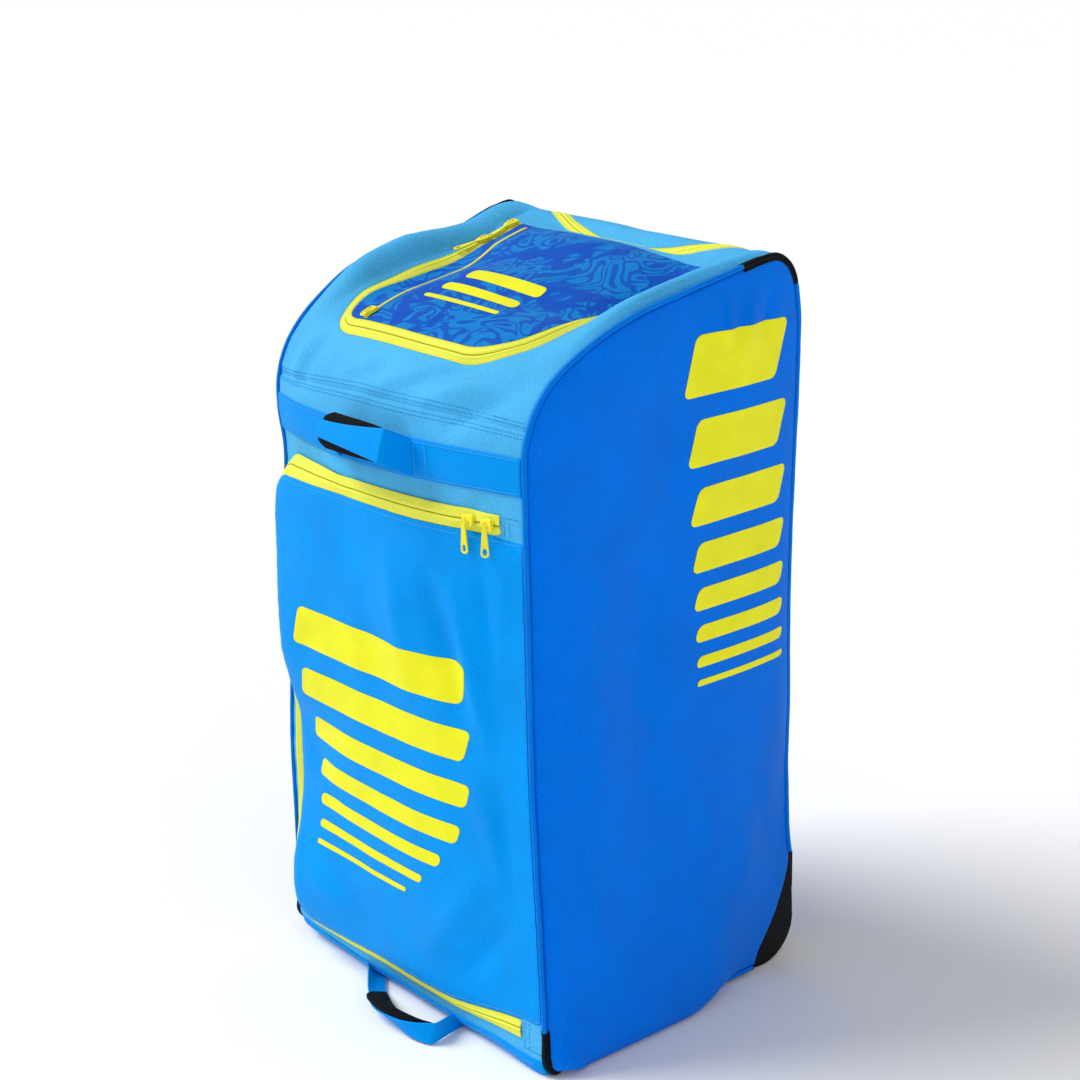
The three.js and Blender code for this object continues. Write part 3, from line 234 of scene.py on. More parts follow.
# Wheels
WHEEL = np.array([205.4, 170.0, 57.0])
TYRE_RADIUS = 56.7
HUB_RADIUS = 38.0
HOUSING_X = (172.0, 238.8)
HOUSING_WALL = 3.0
WELL_RADIUS = 62.0
WELL_TURN = (36.0, 235.0)
HOUSING_TOP = 150.0
HOUSING_SHOULDER = 160.0
HOUSING_FRONT = 105.0
CHEEK_RADIUS = 56.5
NOTCH_X, NOTCH_Y, NOTCH_Z = 171.0, 104.0, 151.0
SIDE_CUT_TOP = 146.0
SIDE_CUT_FOOT = (156.0, 28.0)
SIDE_CUT_BOW = (7.0, -4.0)
SIDE_CUT_END = 150.0


# Small tools

def smooth(value, low, high):
    """Eased share from 0 at low to 1 at high."""
    t = np.clip((np.asarray(value, float) - low) / (high - low), 0, 1)
    return t * t * (3 - 2 * t)


def lerp(a, b, t):
    return a + (b - a) * t


def spaced(start, end, step):
    count = max(2, math.ceil(abs(end - start) / step) + 1)
    return np.linspace(start, end, count)


def with_margins(values, margin=0.9):
    """The same places with one more close to each end, where an edge rounds off."""
    sign = np.sign(values[-1] - values[0])
    ends = [values[0] + sign * margin, values[-1] - sign * margin]
    return np.sort(np.concatenate([values, ends]))[:: int(sign)]


def grids(first, second):
    """Both as number arrays of one shape."""
    return np.broadcast_arrays(np.asarray(first, float), np.asarray(second, float))


def unit(vectors):
    return vectors / np.maximum(np.linalg.norm(vectors, axis=-1, keepdims=True), 1e-9)


def full_turn(count):
    return np.linspace(0, 2 * math.pi, count, endpoint=False)


def lengths_along(points):
    """How far along a line of points each one is."""
    steps = np.linalg.norm(np.diff(points, axis=0), axis=1)
    return np.concatenate([[0], np.cumsum(steps)])


def hump(off, half_width):
    return np.exp(-((off / half_width) ** 2))


def inside_corner(past_side, past_end, radius):
    """Distance in from two edges that meet in a rounded corner, by how far past its centre a place is."""
    outside = np.hypot(np.maximum(past_side, 0), np.maximum(past_end, 0))
    return radius - outside - np.minimum(np.maximum(past_side, past_end), 0)


def curve_through(table, column, at):
    """A column of a table as a smooth curve with no overshoot."""
    keys, values = table[:, 0], table[:, column]
    steps = np.diff(keys)
    slopes = np.diff(values) / steps
    product = slopes[:-1] * slopes[1:]
    inner = np.where(product > 0, 2 * product / np.where(product > 0, slopes[:-1] + slopes[1:], 1), 0)
    tangents = np.concatenate([[slopes[0]], inner, [slopes[-1]]])
    at = np.clip(at, keys[0], keys[-1])
    i = np.clip(np.searchsorted(keys, at, side="right") - 1, 0, len(steps) - 1)
    t = (at - keys[i]) / steps[i]
    h = steps[i]
    return (
        values[i] * (1 + 2 * t) * (1 - t) ** 2
        + tangents[i] * h * t * (1 - t) ** 2
        + values[i + 1] * t * t * (3 - 2 * t)
        + tangents[i + 1] * h * t * t * (t - 1)
    )


RANDOM = np.random.default_rng(11)
GRADIENTS = RANDOM.normal(size=(256, 2))
GRADIENTS /= np.linalg.norm(GRADIENTS, axis=1, keepdims=True)
SHUFFLE = RANDOM.permutation(256)


def noise(x, y, layer=0):
    """Smooth noise, about -0.7 to 0.7, with features about one unit across."""
    x, y = grids(x, y)
    cell_x, cell_y = np.floor(x).astype(int), np.floor(y).astype(int)
    in_x, in_y = x - cell_x, y - cell_y
    ease_x = in_x**3 * (in_x * (in_x * 6 - 15) + 10)
    ease_y = in_y**3 * (in_y * (in_y * 6 - 15) + 10)

    def corner(dx, dy):
        key = SHUFFLE[(cell_x + dx + 37 * layer) % 256]
        gradient = GRADIENTS[SHUFFLE[(key + cell_y + dy) % 256]]
        return gradient[..., 0] * (in_x - dx) + gradient[..., 1] * (in_y - dy)

    low = lerp(corner(0, 0), corner(1, 0), ease_x)
    high = lerp(corner(0, 1), corner(1, 1), ease_x)
    return lerp(low, high, ease_y)


def fold_rise(folds, first, second):
    """Height that a table of folds adds at places given by its first two columns' measures."""
    rise = np.zeros(np.broadcast(first, second).shape)
    for start_a, start_b, end_a, end_b, half_width, height in folds:
        run_a, run_b = end_a - start_a, end_b - start_b
        t = ((first - start_a) * run_a + (second - start_b) * run_b) / (run_a**2 + run_b**2)
        t = np.clip(t, 0, 1)
        off = (first - start_a - t * run_a) ** 2 + (second - start_b - t * run_b) ** 2
        rise = rise + height * np.exp(-off / half_width**2) * 4 * t * (1 - t)
    return rise


# Form of the cloth round the front, top, back and base

def seam_segments():
    """Rows of start along, y, z, heading and radius, with radius 0 on a straight run."""
    y, z, heading, start = FRONT_Y + FOOT_RADIUS, SEAM_LIFT, math.pi, 0.0
    rows = []

    def straight(length):
        nonlocal y, z, start
        rows.append((start, y, z, heading, 0.0))
        y, z, start = y + length * math.cos(heading), z + length * math.sin(heading), start + length

    def arc(radius, degrees):
        nonlocal y, z, heading, start
        rows.append((start, y, z, heading, radius))
        turn = math.radians(degrees)
        end = heading - turn
        y += radius * (math.sin(heading) - math.sin(end))
        z += radius * (math.cos(end) - math.cos(heading))
        heading, start = end, start + radius * turn

    arc(FOOT_RADIUS, 90)
    straight(FRONT_RUN)
    arc(*FRONT_TOP)
    arc(*ROOF)
    corner = BACK_TOP_RADIUS * (1 + math.sin(heading))
    straight((SEAM_DEPTH / 2 - corner - y) / math.cos(heading))
    arc(BACK_TOP_RADIUS, 90 + math.degrees(heading))
    straight(z - SEAM_LIFT - BACK_FOOT_RADIUS)
    arc(BACK_FOOT_RADIUS, 90)
    straight(SEAM_DEPTH - FOOT_RADIUS - BACK_FOOT_RADIUS)
    return np.array(rows), start


SEAM, SEAM_LENGTH = seam_segments()
FOOT_END = SEAM[1, 0]
BACK_RUN_START, BACK_RUN_Z = SEAM[6, 0], SEAM[6, 2]
HEEL_START, BASE_START = SEAM[7, 0], SEAM[8, 0]


def seam_at(along):
    """Places on the outline: y, z and the outward normal's two parts."""
    at = np.mod(np.asarray(along, float), SEAM_LENGTH)
    row = SEAM[np.searchsorted(SEAM[:, 0], at, side="right") - 1]
    start, y, z, heading, radius = (row[..., k] for k in range(5))
    run = at - start
    bent = radius > 0
    end = heading - np.where(bent, run / np.where(bent, radius, 1), 0)
    y = y + np.where(bent, radius * (np.sin(heading) - np.sin(end)), run * np.cos(heading))
    z = z + np.where(bent, radius * (np.cos(end) - np.cos(heading)), run * np.sin(heading))
    down_back = np.clip((at - BACK_RUN_START) / (HEEL_START - BACK_RUN_START), 0, 1)
    y = y - BACK_SAG * np.sin(np.pi * down_back) ** 2
    return y, z, -np.sin(end), np.cos(end)


def base_share(along):
    at = np.mod(np.asarray(along, float), SEAM_LENGTH)
    rising = 1 - smooth(at, 0, FOOT_END) + smooth(at, HEEL_START, BASE_START)
    return np.where(at >= BASE_START, 1.0, rising)


def groove(distance, half_width, depth):
    return -depth * hump(distance, half_width)


def swells(table, first, second, offset=0.0):
    """Height of a table of swells at places in its two directions."""
    rise = 0.0
    for height, length, width, layer in table:
        rise = rise + height * noise(first / length + offset, second / width, layer)
    return rise


def puckers(table, distance, first, second):
    """Short waves beside a seam, lower with the distance from it."""
    height, reach, length, layer = table
    return height * np.exp(-distance / reach) * noise(first / length, second, layer)


def gusset_ripple(along, across):
    """Small unevenness of the cloth: slow swells, puckers beside the side seams and sewn grooves."""
    from_seam = SEAM_HALF - np.abs(across)
    loose = swells(GUSSET_SWELLS, along, across) + fold_rise(GUSSET_FOLDS, along, across)
    beside = puckers(GUSSET_PUCKER, from_seam, along, np.sign(across) * GUSSET_ROW)
    seams = groove(along - TOP_SEAM, *TOP_GROOVE) + groove(along - REAR_SEAM, *REAR_GROOVE)
    gathered = puckers(TOP_GATHER, np.abs(along - TOP_SEAM), across, along / GATHER_CHANGE)
    return loose * smooth(from_seam, *GUSSET_LOOSE) + beside + seams + gathered


def lid_step(along, across):
    """The lid stands proud of the cloth round it: its zip slopes up to it from the outside."""
    past_side = np.abs(across) - (LID_ZIP_HALF - LID_CORNER)
    inside = inside_corner(past_side, LID_FRONT + LID_CORNER - along, LID_CORNER)
    left, right = (1 - smooth(along - LID_FRONT, *hinge) for hinge in LID_HINGES)
    hinge = lerp(left, right, smooth(across, *LID_HINGE_ACROSS))
    return LID_STEP * smooth(inside, 0, ZIP_TAPE) * hinge * (along < LID_REAR)


def drift(along, across):
    """How far sewn lines lie along the outline from their even places."""
    at = np.mod(along + LID_REAR, SEAM_LENGTH) - LID_REAR
    total = 0.0
    for shift_by, middle, half_width, start, full in DRIFT:
        total = total + shift_by * hump(at - middle, half_width) * smooth(across, start, full)
    return total


def gusset_rise(along, across):
    """Height of the cloth over the outline."""
    along, across = grids(along, across)
    at = np.mod(along, SEAM_LENGTH)
    from_seam = SEAM_HALF - np.abs(across)
    share = np.clip(np.abs(across) / SEAM_HALF, 0, 1)
    placed = np.mod(along + drift(along, across), SEAM_LENGTH)
    bulge, fullness, ridge = (curve_through(GUSSET_FORM, k, placed) for k in (1, 2, 3))
    left, right = (curve_through(RIDGE_FORM, k, at) for k in (1, 2))
    ridge = ridge + np.where(across < 0, left, right)
    roll = 1 - ((from_seam - RIDGE_FROM_SEAM) / RIDGE_HALF_WIDTH) ** 2
    roll = np.maximum(0, roll) * smooth(from_seam, *RIDGE_START)
    inner = LID_ZIP_HALF - ZIP_TAPE
    t = (at - LID_FRONT - ZIP_TAPE) / (LID_REAR - LID_FRONT - ZIP_TAPE)
    on_lid = (t > 0) & (t < 1) & (np.abs(across) < inner)
    crown = LID_CROWN * np.sin(np.pi * np.clip(t, 0, 1) ** LID_CROWN_SKEW) * (1 - (across / inner) ** 2)
    cloth = bulge * (1 - share**fullness) + ridge * roll + np.where(on_lid, crown, 0)
    cloth = cloth + lid_step(at, across)
    base = SEAM_LIFT * np.minimum(1, from_seam / BASE_RAMP)
    return lerp(cloth + gusset_ripple(at, across), base, base_share(placed))


def gusset_point(along, across, lift=0.0):
    """Places on the cloth, or over it by a lift."""
    along, across = grids(along, across)
    y, z, normal_y, normal_z = seam_at(along + drift(along, across))
    rise = gusset_rise(along, across) + lift
    return np.stack([across, y + normal_y * rise, z + normal_z * rise], -1)


def pocket_inside(along, across):
    """Distance in from the pocket's zipped edges."""
    half = (POCKET_TOP - POCKET_BOTTOM) / 2
    past_end = np.abs(along - (POCKET_TOP + POCKET_BOTTOM) / 2) - (half - POCKET_CORNER)
    return inside_corner(POCKET_LEFT + POCKET_CORNER - across, past_end, POCKET_CORNER)


def pocket_lift(along, across):
    """Height of the pocket cover over the front wall, with its edges rolled over towards the zip."""
    left, middle = (curve_through(POCKET_FORM, k, along) for k in (1, 2))
    share = np.clip((across - POCKET_LEFT) / (POCKET_RIGHT - POCKET_LEFT), 0, 1)
    rising = lerp(left, middle, smooth(share, 0, POCKET_MIDDLE[0]))
    lift = lerp(rising, POCKET_HINGE_LIFT, smooth(share, POCKET_MIDDLE[1], 1))
    inside = np.maximum(0, pocket_inside(along, across))
    hinge = np.maximum(0, POCKET_RIGHT - across)
    loose = swells(POCKET_SWELLS, along, across) + fold_rise(POCKET_FOLDS, along, across)
    beside = puckers(POCKET_PUCKER, inside, along + across, (along - across) / POCKET_CHANGE)
    depth, width = POCKET_ROLL
    roll = depth * (1 - np.clip(inside / width, 0, 1)) ** 2
    return lift + loose * smooth(np.minimum(inside, hinge), *POCKET_LOOSE) + beside - roll


def pocket_point(along, across, lift=0.0):
    return gusset_point(along, across, pocket_lift(along, across) + lift)


# Form of the side panels

def side_outline(step):
    """Closed outline of a side panel in (y, z), leaving the seam in front of the wheel housing."""
    inset = PIPING_RADIUS + GAP
    cut_top = BACK_RUN_START + BACK_RUN_Z - SIDE_CUT_TOP

    def inset_points(alongs):
        y, z, normal_y, normal_z = seam_at(alongs)
        return np.stack([y - normal_y * inset, z - normal_z * inset], -1)

    body = inset_points(spaced(0, cut_top, step))
    cut_steps = 34
    t = np.linspace(0, 1, cut_steps)[1:, None]
    bow = 4 * t * (1 - t) * np.array(SIDE_CUT_BOW)
    curve = lerp(body[-1], np.array(SIDE_CUT_FOOT), t) + bow
    base = inset_points(spaced(FRONT_Y + FOOT_RADIUS - SIDE_CUT_END, 0, step)[:-1])
    return np.concatenate([body, curve, base])


COARSE_OUTLINE = side_outline(8.0)


def side_edge(y, z):
    """Distance to the side panel's outline, and how far round it the nearest place is."""
    shape = np.broadcast(y, z).shape
    places = np.stack(np.broadcast_arrays(y, z), -1).reshape(-1, 2)
    start = COARSE_OUTLINE
    run = np.roll(start, -1, axis=0) - start
    length = np.hypot(run[:, 0], run[:, 1])
    round_it = np.concatenate([[0], np.cumsum(length)[:-1]])
    distance, where = np.empty(len(places)), np.empty(len(places))
    many = 4000
    for low in range(0, len(places), many):
        chunk = slice(low, low + many)
        away = places[chunk, None, :] - start[None]
        t = np.clip((away * run).sum(-1) / length**2, 0, 1)
        gap = np.linalg.norm(away - t[..., None] * run, axis=-1)
        nearest = gap.argmin(1)
        row = np.arange(len(nearest))
        distance[chunk] = gap[row, nearest]
        where[chunk] = round_it[nearest] + t[row, nearest] * length[nearest]
    return distance.reshape(shape), where.reshape(shape)


def side_point(side, y, z, lift=0.0):
    """Places on a side panel, bulged, with its foot hanging a little over the seam below it."""
    y, z = grids(y, z)
    distance, where = side_edge(y, z)
    share = np.clip(distance / SIDE_RISE, 0, 1)
    foot_y, foot_z = SIDE_CUT_FOOT
    run_y, run_z = SEAM_DEPTH / 2 - foot_y, SIDE_CUT_TOP - foot_z
    from_cut = ((z - foot_z) * run_y - (y - foot_y) * run_z) / math.hypot(run_y, run_z)
    flat = lerp(SIDE_FLAT, 1, smooth(from_cut, 0, SIDE_FLAT_REACH))
    bulge = curve_through(SIDE_FORM, 1, z) * np.sqrt(1 - (1 - share) ** 2) * flat
    loose = swells(SIDE_SWELLS, z, y, side * SIDE_SWELL_ROW) + fold_rise(SIDE_FOLDS, z, y)
    beside = puckers(SIDE_PUCKER, distance, where, side * SIDE_ROW)
    beside = beside * smooth(distance, 0, SIDE_PUCKER_START)
    rise = bulge + loose * smooth(distance, *SIDE_LOOSE) + beside
    slack = smooth(y, *SLACK_FRONT) * (1 - smooth(y, *SLACK_BACK))
    above = np.maximum(0, z - SEAM_LIFT - PIPING_RADIUS - GAP)
    out = SEAM_HALF + rise + curve_through(BELLY, 1, above) * slack + lift
    return np.stack([side * out, y, z - curve_through(BELLY, 2, above) * slack], -1)


def shifted(points, table):
    """Points moved by a table of shifts, each in the share that its ramps give."""
    total = np.zeros_like(points)
    for shift_by, *ramps in table:
        share = np.ones(len(points))
        for axis, start, full in ramps:
            share = share * smooth(points[:, axis], start, full)
        total = total + share[:, None] * np.array(shift_by, float)
    return points + total


def settle(points):
    """The bag's slump and flare, kept clear of the floor."""
    x, y, z = shifted(shifted(points, SLUMP), FLARE).T
    return np.stack([x, y, np.maximum(z, FLOOR_CLEAR)], -1)


# Closed meshes: each maker gives points in millimetres, faces and metric places for the weave

def grid_normals(points):
    return unit(np.cross(np.gradient(points, axis=1), np.gradient(points, axis=0)))


def shell(points, weave, thickness, keep=None, centre=MIDDLE, edge_drop=0.5):
    """A wall under a grid of points, closed all round, with its edges rounded off a little."""
    outward = (grid_normals(points) * (points - centre)).sum()
    if outward < 0:
        points, weave = points[:, ::-1], weave[:, ::-1]
        keep = None if keep is None else keep[:, ::-1]
    rows, columns = points.shape[:2]
    count = rows * columns
    normals = grid_normals(points).reshape(-1, 3)
    index = np.arange(count).reshape(rows, columns)
    quads = np.stack([index[:-1, :-1], index[:-1, 1:], index[1:, 1:], index[1:, :-1]], -1)
    quads = quads.reshape(-1, 4) if keep is None else quads[keep]
    directed = np.concatenate([quads[:, [k, (k + 1) % 4]] for k in range(4)])
    forward, back = directed[:, 0] * count + directed[:, 1], directed[:, 1] * count + directed[:, 0]
    border = directed[~np.isin(forward, back)]
    outer = points.reshape(-1, 3).copy()
    inner = outer - normals * thickness
    rim = np.unique(border)
    outer[rim] -= normals[rim] * edge_drop
    sides = np.stack([border[:, 1], border[:, 0], border[:, 0] + count, border[:, 1] + count], -1)
    faces = np.concatenate([quads, quads[:, ::-1] + count, sides])
    used, compact = np.unique(faces, return_inverse=True)
    vertices = np.concatenate([outer, inner])[used]
    places = np.concatenate([weave.reshape(-1, 2)] * 2)[used]
    return vertices, compact.reshape(faces.shape).tolist(), places


def tube(rings, closed=False):
    """A skin over rings of points, shaped (rings, points, 3), capped at its ends unless it is a loop."""
    count, sides = rings.shape[:2]
    index = np.arange(count * sides).reshape(count, sides)
    following = np.roll(index, -1, axis=1)
    last = count if closed else count - 1
    over = np.roll(index, -1, axis=0)
    over_following = np.roll(following, -1, axis=0)
    quads = np.stack([index, following, over_following, over], -1)[:last].reshape(-1, 4)
    faces = quads.tolist()
    if not closed:
        faces += [index[0, ::-1].tolist(), index[-1].tolist()]
    vertices = rings.reshape(-1, 3)
    radius = np.linalg.norm(rings[0] - rings[0].mean(0), axis=1).mean()
    girth = np.linspace(0, 2 * math.pi * radius, sides)
    places = np.stack(np.meshgrid(girth, lengths_along(rings.mean(1))), -1).reshape(-1, 2) * MM
    first, second, third = (vertices[quads[:, k]] - vertices.mean(0) for k in range(3))
    volume = (first * np.cross(second, third)).sum()
    if volume < 0:
        faces = [face[::-1] for face in faces]
    return vertices, faces, places


def wire(points, radius, closed=False):
    """A round wire along a line of points."""
    run = np.gradient(points, axis=0)
    if closed:
        run = np.roll(points, -1, axis=0) - np.roll(points, 1, axis=0)
    run = unit(run)
    flat = np.ptp(points, axis=0)
    first = unit(np.cross(run, np.eye(3)[flat.argmin()]))
    second = np.cross(run, first)
    turns = full_turn(8)[None, :, None]
    rings = radius * (np.cos(turns) * first[:, None] + np.sin(turns) * second[:, None])
    return tube(points[:, None] + rings, closed)


def inset_loop(loop, inset):
    """A flat loop of (a, b) points drawn in by an inset, along its own normals."""
    run = np.roll(loop, -1, axis=0) - np.roll(loop, 1, axis=0)
    normal = unit(np.stack([run[:, 1], -run[:, 0]], -1))
    area = (loop[:, 0] * np.roll(loop[:, 1], -1) - np.roll(loop[:, 0], -1) * loop[:, 1]).sum()
    return loop - normal * inset * np.sign(area)


def plate(loop, low, high, bevel, hole=None):
    """A plate whose outline is a loop in (second, third) axes, thick along the first, edges rounded.
    With a hole, given as a loop of as many points, it is a ring."""
    part = bevel * 0.3
    stops = [(low, bevel), (low + part, part), (low + bevel, 0)]
    stops += [(high - bevel, 0), (high - part, part), (high, bevel)]

    def ring_of(place, outline):
        return np.concatenate([np.full((len(outline), 1), place), outline], 1)

    outside = [ring_of(place, inset_loop(loop, inset)) for place, inset in stops]
    if hole is None:
        return tube(np.stack(outside))
    inside = [ring_of(place, inset_loop(hole, -inset)) for place, inset in reversed(stops)]
    return tube(np.stack(outside + inside), closed=True)


def turned(profile, segments, wave=None):
    """A solid turned about the X axis from a closed profile of (radius, place) points."""
    profile = np.asarray(profile, float)
    turns = full_turn(segments)
    radius = np.broadcast_to(profile[:, 0], (segments, len(profile)))
    if wave is not None:
        radius = radius + wave(turns[:, None], profile[None, :, 1], radius)
    place = np.broadcast_to(profile[:, 1], radius.shape)
    rings = np.stack([place, radius * np.cos(turns)[:, None], radius * np.sin(turns)[:, None]], -1)
    return tube(rings, closed=True)


def axes_matrix(first, second, third, origin):
    matrix = np.eye(4)
    matrix[:3] = np.stack([first, second, third, origin], -1)
    return matrix


def moved(part, matrix):
    """A part taken to another place by a 4 by 4 matrix."""
    vertices, faces, places = part
    m = np.array(matrix)
    turned_over = np.linalg.det(m[:3, :3]) < 0
    faces = [face[::-1] for face in faces] if turned_over else faces
    return vertices @ m[:3, :3].T + m[:3, 3], faces, places


def add_piece(name, parts, look, slot, nodes=(), body="bag", sharp=48, soft=True):
    """One piece of the bag from its parts, riding on a body and standing for the solids it names."""
    vertices, faces, places = [], [], []
    count = 0
    for part_vertices, part_faces, part_places in parts:
        vertices.append(part_vertices)
        places.append(part_places)
        faces += [[corner + count for corner in face] for face in part_faces]
        count += len(part_vertices)
    mesh = bpy.data.meshes.new(name)
    points = np.concatenate(vertices)
    points = settle(points) if soft else points
    mesh.from_pydata((points * MM).tolist(), [], faces)
    corners = np.empty(len(mesh.loops), np.int32)
    mesh.loops.foreach_get("vertex_index", corners)
    layer = mesh.uv_layers.new(name="weave")
    layer.data.foreach_set("uv", np.concatenate(places)[corners].astype(np.float32).ravel())
    mesh.polygons.foreach_set("use_smooth", np.ones(len(mesh.polygons), bool))
    mesh.set_sharp_from_angle(angle=math.radians(sharp))
    mesh.materials.append(LOOKS[look].material)
    piece = bpy.data.objects.new(name, mesh)
    bpy.context.scene.collection.objects.link(piece)
    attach(piece, body)
    if nodes:
        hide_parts(*nodes)
    return piece


def add_cloth(node, part, colour):
    add_piece(f"{node}_cloth", [part], colour, f"{colour}_cloth", [node])


# Materials

class Look:
    """A material's node tree round its one shader."""

    def __init__(self, name, roughness, **settings):
        self.material = bpy.data.materials.new(name)
        self.material.use_nodes = True
        self.tree = self.material.node_tree
        self.shader = self.tree.nodes["Principled BSDF"]
        self.shader.inputs["Roughness"].default_value = roughness
        for socket, value in settings.items():
            self.shader.inputs[socket.replace("_", " ")].default_value = value
        self.weave = self.node("ShaderNodeUVMap", uv_map="weave").outputs["UV"]

    def node(self, kind, inputs=None, **settings):
        node = self.tree.nodes.new(kind)
        for key, value in settings.items():
            setattr(node, key, value)
        for socket, value in (inputs or {}).items():
            if isinstance(value, bpy.types.NodeSocket):
                self.tree.links.new(value, node.inputs[socket])
            else:
                node.inputs[socket].default_value = value
        return node

    def math(self, operation, *values):
        return self.node("ShaderNodeMath", dict(enumerate(values)), operation=operation).outputs[0]

    def noise(self, across, along, detail=2.0, roughness=0.5, distortion=0.0):
        """Noise with features of so many millimetres each way."""
        scale = (1 / (across * MM), 1 / (along * MM), 1)
        places = self.node("ShaderNodeMapping", {"Vector": self.weave, "Scale": scale}).outputs[0]
        inputs = {"Vector": places, "Scale": 1.0, "Detail": detail}
        inputs |= {"Roughness": roughness, "Distortion": distortion}
        return self.node("ShaderNodeTexNoise", inputs).outputs[0]

    def ribs(self, pitch, direction):
        """Rounded ribs with a pitch in millimetres, 0 to 1."""
        part = self.node("ShaderNodeSeparateXYZ", {0: self.weave}).outputs[direction]
        turn = self.math("MULTIPLY", part, 2 * math.pi / (pitch * MM))
        return self.math("MULTIPLY_ADD", self.math("SINE", turn), 0.5, 0.5)

    def range(self, value, low, high, to_low, to_high):
        inputs = {0: value, 1: low, 2: high, 3: to_low, 4: to_high}
        return self.node("ShaderNodeMapRange", inputs).outputs[0]

    def mix(self, share, first, second, blend="MIX"):
        inputs = {0: share, 6: first, 7: second}
        return self.node("ShaderNodeMix", inputs, data_type="RGBA", blend_type=blend).outputs[2]

    def colour(self, socket):
        self.tree.links.new(socket, self.shader.inputs["Base Color"])

    def rough(self, socket):
        self.tree.links.new(socket, self.shader.inputs["Roughness"])

    def bump(self, height, strength, distance):
        inputs = {"Height": height, "Strength": strength, "Distance": distance * MM}
        normal = self.node("ShaderNodeBump", inputs).outputs[0]
        self.tree.links.new(normal, self.shader.inputs["Normal"])


def shade(colour, factor):
    return (*(min(1.0, part * factor) for part in colour), 1.0)


def cloth_look(name, colour, roughness=0.62, spread=0.24, sheen=0.08):
    """Coated woven cloth: fine plain weave, slubs and slow unevenness of colour."""
    tint = shade(colour, 1.2)
    look = Look(
        name, roughness, Sheen_Weight=sheen, Sheen_Roughness=0.45, Sheen_Tint=tint,
        Specular_IOR_Level=0.25, Specular_Tint=tint,
    )
    slub = look.math("ADD", look.noise(1.5, 4.5), look.noise(4.5, 1.5))
    slow = look.noise(70, 90, detail=3)
    tone = look.math("MULTIPLY_ADD", slub, 0.55, look.math("MULTIPLY", slow, 0.45))
    tone = look.range(tone, 0.45, 1.05, 0, 1)
    look.colour(look.mix(tone, shade(colour, 1 - spread), shade(colour, 1 + spread)))
    weave = look.math("MULTIPLY", look.ribs(0.85, 0), look.ribs(0.85, 1))
    look.bump(look.math("ADD", weave, slub), 0.32, 0.35)
    look.rough(look.range(slow, 0.3, 0.7, roughness - 0.06, roughness + 0.08))
    return look


def marbled_look(name, dark, light):
    """Printed cloth with generic two-tone marbling in swirls and fine veins."""
    look = cloth_look(name, light)
    swirl = look.noise(80, 95, detail=1.5, roughness=0.4, distortion=2.0)
    veins = look.math("FRACT", look.math("MULTIPLY", swirl, 7.0))
    blotch = look.noise(60, 72, detail=1.2, roughness=0.4, distortion=1.4)
    vein_mask = look.range(veins, 0.56, 0.6, 0, 1)
    blotch_mask = look.range(blotch, 0.57, 0.585, 0, 1)
    mask = look.math("MAXIMUM", look.math("MULTIPLY", vein_mask, 0.9), blotch_mask)
    grain = look.range(look.noise(1.6, 3), 0.3, 0.7, 0.9, 1.1)
    mixed = look.mix(mask, shade(light, 1), shade(dark, 1))
    look.colour(look.mix(1.0, mixed, grain, "MULTIPLY"))
    return look


def webbing_look(name, colour, pitch=2.4):
    """Woven webbing: ribs across its run, broken into short floats."""
    tint = shade(colour, 1.2)
    look = Look(
        name, 0.66, Sheen_Weight=0.04, Sheen_Tint=tint, Specular_IOR_Level=0.2, Specular_Tint=tint,
    )
    ribs = look.ribs(pitch, 1)
    floats = look.ribs(pitch * 1.7, 0)
    grain = look.noise(1.1, 2.6)
    height = look.math("MULTIPLY_ADD", ribs, 0.7, look.math("MULTIPLY", floats, 0.35))
    # Painted shade: the colour is lighter on the ribs' crests and darker in the hollows between them,
    # mixed with random grain
    tone = look.math("ADD", look.math("MULTIPLY", height, 0.5), look.math("MULTIPLY", grain, 0.7))
    look.colour(look.mix(look.range(tone, 0.3, 0.95, 0, 1), shade(colour, 0.9), shade(colour, 1.1)))
    look.bump(height, 0.25, 0.4)
    return look


def tape_look(name, colour, line):
    """Zip tape: its weave's first place runs 0 to 1 across the tape. Mid-way a dark line is painted over
    the groove between the coils as painted shade, and near the coils the colour is darker between the
    ribs as painted shade, mixed with random grain.
    """
    tint = shade(colour, 1.1)
    look = Look(name, 0.58, Sheen_Weight=0.05, Specular_IOR_Level=0.2, Specular_Tint=tint)
    across = look.node("ShaderNodeSeparateXYZ", {0: look.weave}).outputs[0]
    off = look.math("ABSOLUTE", look.math("SUBTRACT", across, 0.5))
    # Painted shade: a dark line, in the colour passed as line, over the groove between the coils
    groove_shade = look.range(off, 0.018, 0.04, 1, 0)
    ribs = look.ribs(1.5, 1)
    near = look.range(off, 0.1, 0.22, 1, 0)
    grain = look.noise(60, 2.0)
    # Painted shade: lighter on the ribs near the coils and darker between them, mixed with random grain
    tone = look.range(look.math("ADD", look.math("MULTIPLY", ribs, near), grain), 0.3, 1.5, 0, 1)
    body = look.mix(tone, shade(colour, 0.86), shade(colour, 1.08))
    look.colour(look.mix(groove_shade, body, (*line, 1.0)))
    look.bump(look.math("MULTIPLY", ribs, look.range(near, 0, 1, 0.35, 1)), 0.35, 0.4)
    return look


def plain_look(name, colour, roughness, grain, depth, spread=0.1, **settings):
    """Moulded or painted surface with a fine grain."""
    look = Look(name, roughness, **settings)
    fine = look.noise(grain, grain, detail=3)
    slow = look.noise(40, 40, detail=2)
    look.colour(look.mix(slow, shade(colour, 1 - spread), shade(colour, 1 + spread)))
    look.rough(look.range(fine, 0.3, 0.7, roughness - 0.07, roughness + 0.07))
    look.bump(fine, 0.3, depth)
    return look


